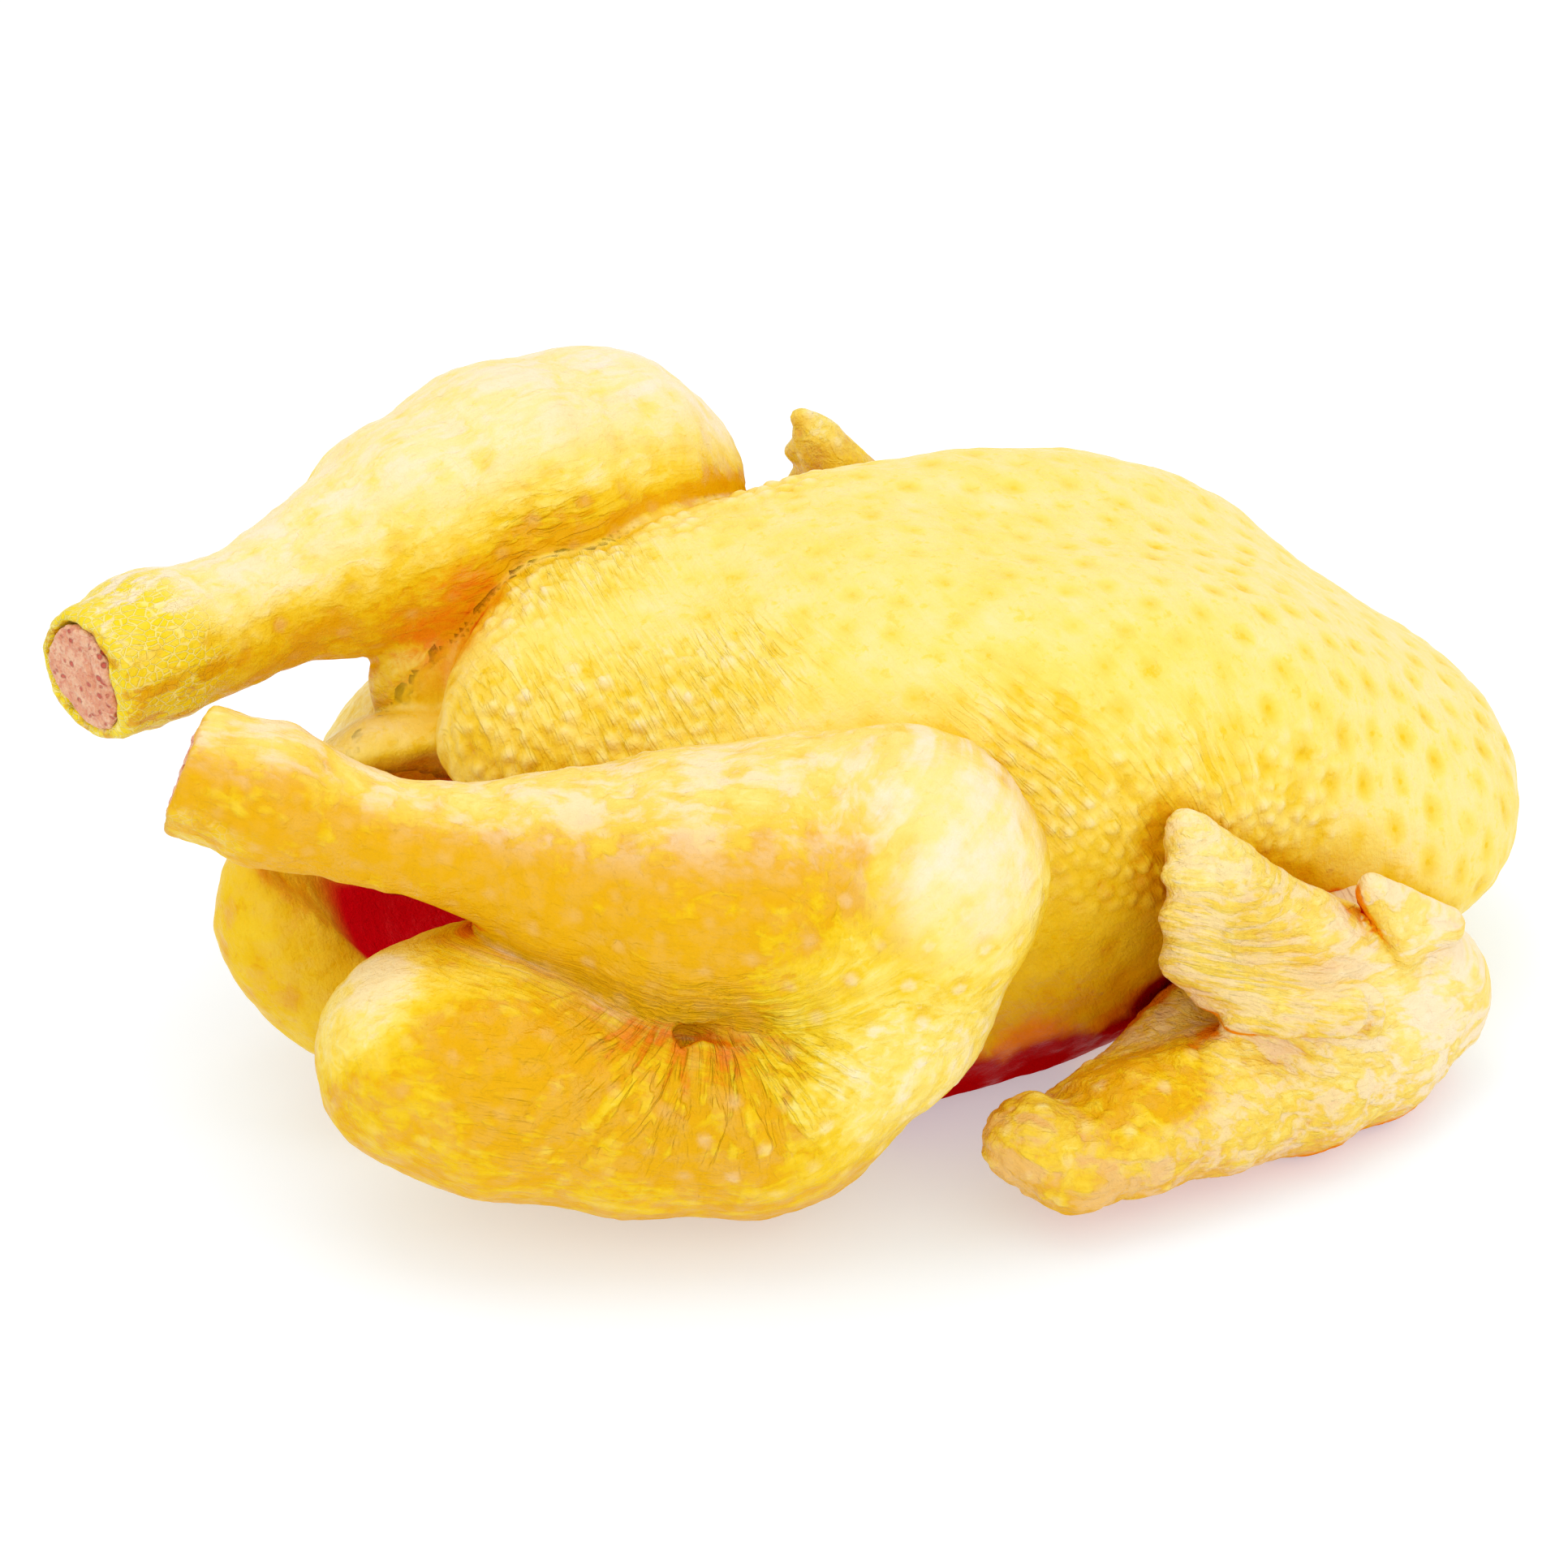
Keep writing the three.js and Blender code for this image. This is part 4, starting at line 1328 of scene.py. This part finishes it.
def skin_material():
    material, shader = new_material("raw_skin", {})
    w = Wiring(material.node_tree)
    read = w.attribute
    place, grain, closed = read("place", True), read("grain", True), read("shut_in")
    pebbles, nubs, dimples = pebble_height(w), nub_height(w), dimple_height(w)
    folds, cracks = fold_height(w), fold_height(w, 1.2, 0.1)
    short = w.stretch(grain, (2.2, 1.0, 1.0))
    blotches = w.wander(place, 8.0, 4.0, 0.6)
    dabs = w.times(w.wander(short, 1.5, 4.0, 0.6, 0.8), read("streaky"))
    flecks = w.times(w.wander(short, 2.9, 3.0, 0.6, 0.5), read("streaky"))
    marks = w.plus(dabs, flecks)
    freckles = w.rise(w.noise(place, 2.3, 3.0, 0.6), 0.56, 0.72)
    at_root = w.rise(w.length(read("from_root", True)), 0.9, 0.3)
    pits = w.times(at_root, read("root_size"), read("dimpled"))
    patchy = w.rise(w.sum_of((flecks, 1), (dabs, 0.5), (blotches, 0.5)), -0.1, 0.16)
    rosy = w.times(read("rosy"), w.plus(0.15, w.times(patchy, 0.7)))
    # Each of these moves a spot along the skin tones, up to gold or, below zero, down to butter yellow.
    # The wrinkles, goose bumps, nubs and leathery folds turn golden in their hollows and paler on their
    # tops, as painted shade and painted light, while the feather roots' dimples and pits keep their own
    # golden halo.
    tone = w.sum_of(
        (read("golden"), 1),
        (rosy, -0.5),
        (w.times(blotches, read("mottled")), 0.9),
        (marks, 0.75),
        (freckles, 0.16),
        (leather_height(w), -0.6),
        (dimples, -0.34),
        (pits, 0.2),
        (folds, -0.45),
        (cracks, -0.25),
        (read("bumpy"), 0.12),
        (pebbles, -0.36),
        (nubs, -0.3),
        # Shut-in spots turn golden: painted shade.
        (w.rise(closed, 0.3, 0.8), 0.36),
    )
    colour = w.ramp(tone, SKIN_TONES)
    # Knees, wrists and the tips of the nubs are rosy, and so, as painted light, is the upper side of the
    # legs. The rosy fades where the skin is shut in, as painted shade.
    rosy = w.highest(rosy, w.times(pebbles, 0.05), w.times(nubs, 0.4))
    colour = w.mix(w.times(rosy, w.rise(closed, 0.8, 0.5)), colour, ROSY)
    # Skin that is shut in or folded in, and the low flanks by the table, get painted shade: orange, then
    # dark red. The thigh at the left calf's fold is orange too, more so down its wrinkles as painted
    # shade, and so is the lower rim of the cavity.
    streaks = w.sum_of((dabs, 1.2), (blotches, 0.8))
    sore = w.times(read("sore"), w.plus(0.3, w.times(folds, -0.6)))
    orange_share = w.plus(w.highest(read("flushed"), w.rise(closed, 0.74, 0.96)), sore)
    colour = w.mix(w.rise(w.plus(orange_share, streaks), 0.25, 0.95), colour, ORANGE)
    # Dark red painted shade low under the flanks.
    colour = w.mix(w.rise(w.sum_of((read("raw"), 1), (streaks, 0.5)), 0.2, 0.7), colour, SHADE_DARK_RED)
    # The most shut-in spots go dark red: painted shade.
    colour = w.mix(w.rise(closed, 0.88, 1.0), colour, SHADE_DARK_RED)
    colour = w.mix(w.rise(read("lining"), 0.1, 0.8), colour, LINING_RED)
    # The shanks keep the pattern of the foot's scales.
    scale = w.add(
        "ShaderNodeTexVoronoi", {"feature": "DISTANCE_TO_EDGE"},
        Vector=w.stretch(place, (0.5, 0.75, 0.75)), Scale=1.0,
    )
    scale_edge = w.rise(scale.outputs["Distance"], 0.1, 0.03)
    scaly = w.times(read("scaly"), w.rise(marks, 0.16, -0.04))
    colour = w.mix(scaly, colour, w.mix(scale_edge, SCALE_YELLOW, SCALE_PALE))
    w.feed(shader.inputs["Base Color"], colour)

    # What is finer than the net is only shaded as relief.
    height = w.sum_of(
        (cracks, 0.3),
        (marks, -0.5),
        (w.noise(place, 0.8, 3.0, 0.6), 0.22),
        (w.noise(place, 3.0, 3.0, 0.6), 0.5),
        (pebbles, 0.4),
        (folds, 0.3),
        (w.times(scale_edge, read("scaly")), -0.12),
    )
    w.feed(shader.inputs["Normal"], w.bump(height))
    w.feed(shader.inputs["Roughness"], w.rise(w.noise(place, 3.0, 2.0), 0.3, 0.7, 0.3, 0.5))
    # Moist skin shines in patches, but not deep in a fold, nor in the painted shade under the flanks.
    gloss = w.rise(w.noise(place, 4.0, 3.0), 0.42, 0.68, 0.06, 0.4)
    dull = w.highest(read("raw"), w.rise(closed, 0.4, 0.75))
    w.feed(shader.inputs["Specular IOR Level"], w.times(gloss, w.less(1.0, dull)))
    return material


raw_skin = skin_material()

# %% [markdown]
# ## Bone
# The cut hock shows the spongy end of the leg bone: granular, pink, with dark red pores where marrow
# comes through and yellower gristle further in.

# %% Colours of the bone
BONE_PINK = (0.78, 0.32, 0.17, 1)
BONE_PALE = (0.88, 0.52, 0.32, 1)
BONE_RED = (0.6, 0.06, 0.04, 1)
GRISTLE = (0.86, 0.62, 0.3, 1)


def bone_material():
    material, shader = new_material("cut_bone", {
        "Specular IOR Level": 0.3,
        "Subsurface Weight": 0.08,
        "Subsurface Radius": (1.0, 0.3, 0.15),
        "Subsurface Scale": 0.0015,
    })
    w = Wiring(material.node_tree)
    place = w.attribute("place", True)
    pebble, depth = w.attribute("pebble"), w.attribute("depth")
    blotches = w.noise(place, 4.0, 3.0, 0.6)
    grains = w.noise(place, 0.6, 2.0)
    pores = w.add("ShaderNodeTexVoronoi", None, Vector=w.stretch(place, 0.55), Scale=1.0)
    here_and_there = w.rise(w.noise(place, 3.4, 1.0), 0.46, 0.56)
    pore = w.times(w.rise(pores.outputs["Distance"], 0.42, 0.2), here_and_there)
    colour = w.mix(w.rise(w.sum_of((blotches, 1), (grains, 0.5)), 0.6, 0.95), BONE_PINK, BONE_PALE)
    colour = w.mix(w.times(w.rise(pebble, 0.16, 0.0), 0.4), colour, BONE_RED)
    colour = w.mix(w.times(pore, 0.85), colour, BONE_RED)
    colour = w.mix(w.rise(depth, 0.5, 2.2), colour, GRISTLE)
    w.feed(shader.inputs["Base Color"], colour)
    w.feed(shader.inputs["Normal"], w.bump(w.sum_of((grains, 0.5), (pebble, 0.3), (pore, -0.4))))
    w.feed(shader.inputs["Roughness"], w.rise(blotches, 0.3, 0.7, 0.4, 0.65))
    return material


cut_bone = bone_material()

# %% [markdown]
# ## Finish the pieces
# Each net gets its relief and its material, and becomes a plain mesh. The body's net is finer than it
# needs to be on smooth skin, so a Decimate modifier thins it there and keeps the folds.

# %% Raise the relief
MOST_TRIANGLES = 194000
BODY_RELIEF = dict(zip(RELIEF_INPUTS, (1.0, 0.4, 0.6, 0.75, 2.2)))
WING_RELIEF = dict(zip(RELIEF_INPUTS, (0.7, 0.5, 0.0, 0.5, 1.7)))
BONE_RELIEF = dict(zip(RELIEF_INPUTS, (0.35, 0.0, 0.0, 0.0, 1.2)))


def finish_piece(name, piece, heights, material, node):
    smooth = piece.data
    piece.data = run_tree(piece, relief, Skin=material, **heights)
    bpy.data.meshes.remove(smooth)
    triangles = sum(len(polygon.vertices) - 2 for polygon in piece.data.polygons)
    if triangles > MOST_TRIANGLES:
        thin_out(piece, MOST_TRIANGLES / triangles)
    piece.data.name = name
    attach(piece, "root")
    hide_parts(node)
    print(name, triangles, "triangles, now", len(piece.data.polygons), "faces")


def thin_out(piece, ratio):
    modifier = piece.modifiers.new("thin", "DECIMATE")
    modifier.ratio = ratio
    modifier.use_collapse_triangulate = True
    ready = piece.evaluated_get(bpy.context.evaluated_depsgraph_get())
    thick, piece.data = piece.data, bpy.data.meshes.new_from_object(ready)
    piece.modifiers.remove(modifier)
    bpy.data.meshes.remove(thick)
    piece.data.shade_smooth()


for name, piece in skins.items():
    heights = WING_RELIEF if name.endswith("wing") else BODY_RELIEF
    finish_piece(name, piece, heights, raw_skin, "chicken")
for name, piece in bones.items():
    node = "leg_bone_left" if name.startswith("left") else "leg_bone_right"
    finish_piece(name, piece, BONE_RELIEF, cut_bone, node)

# %% Finish
bpy.context.view_layer.update()
low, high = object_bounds()
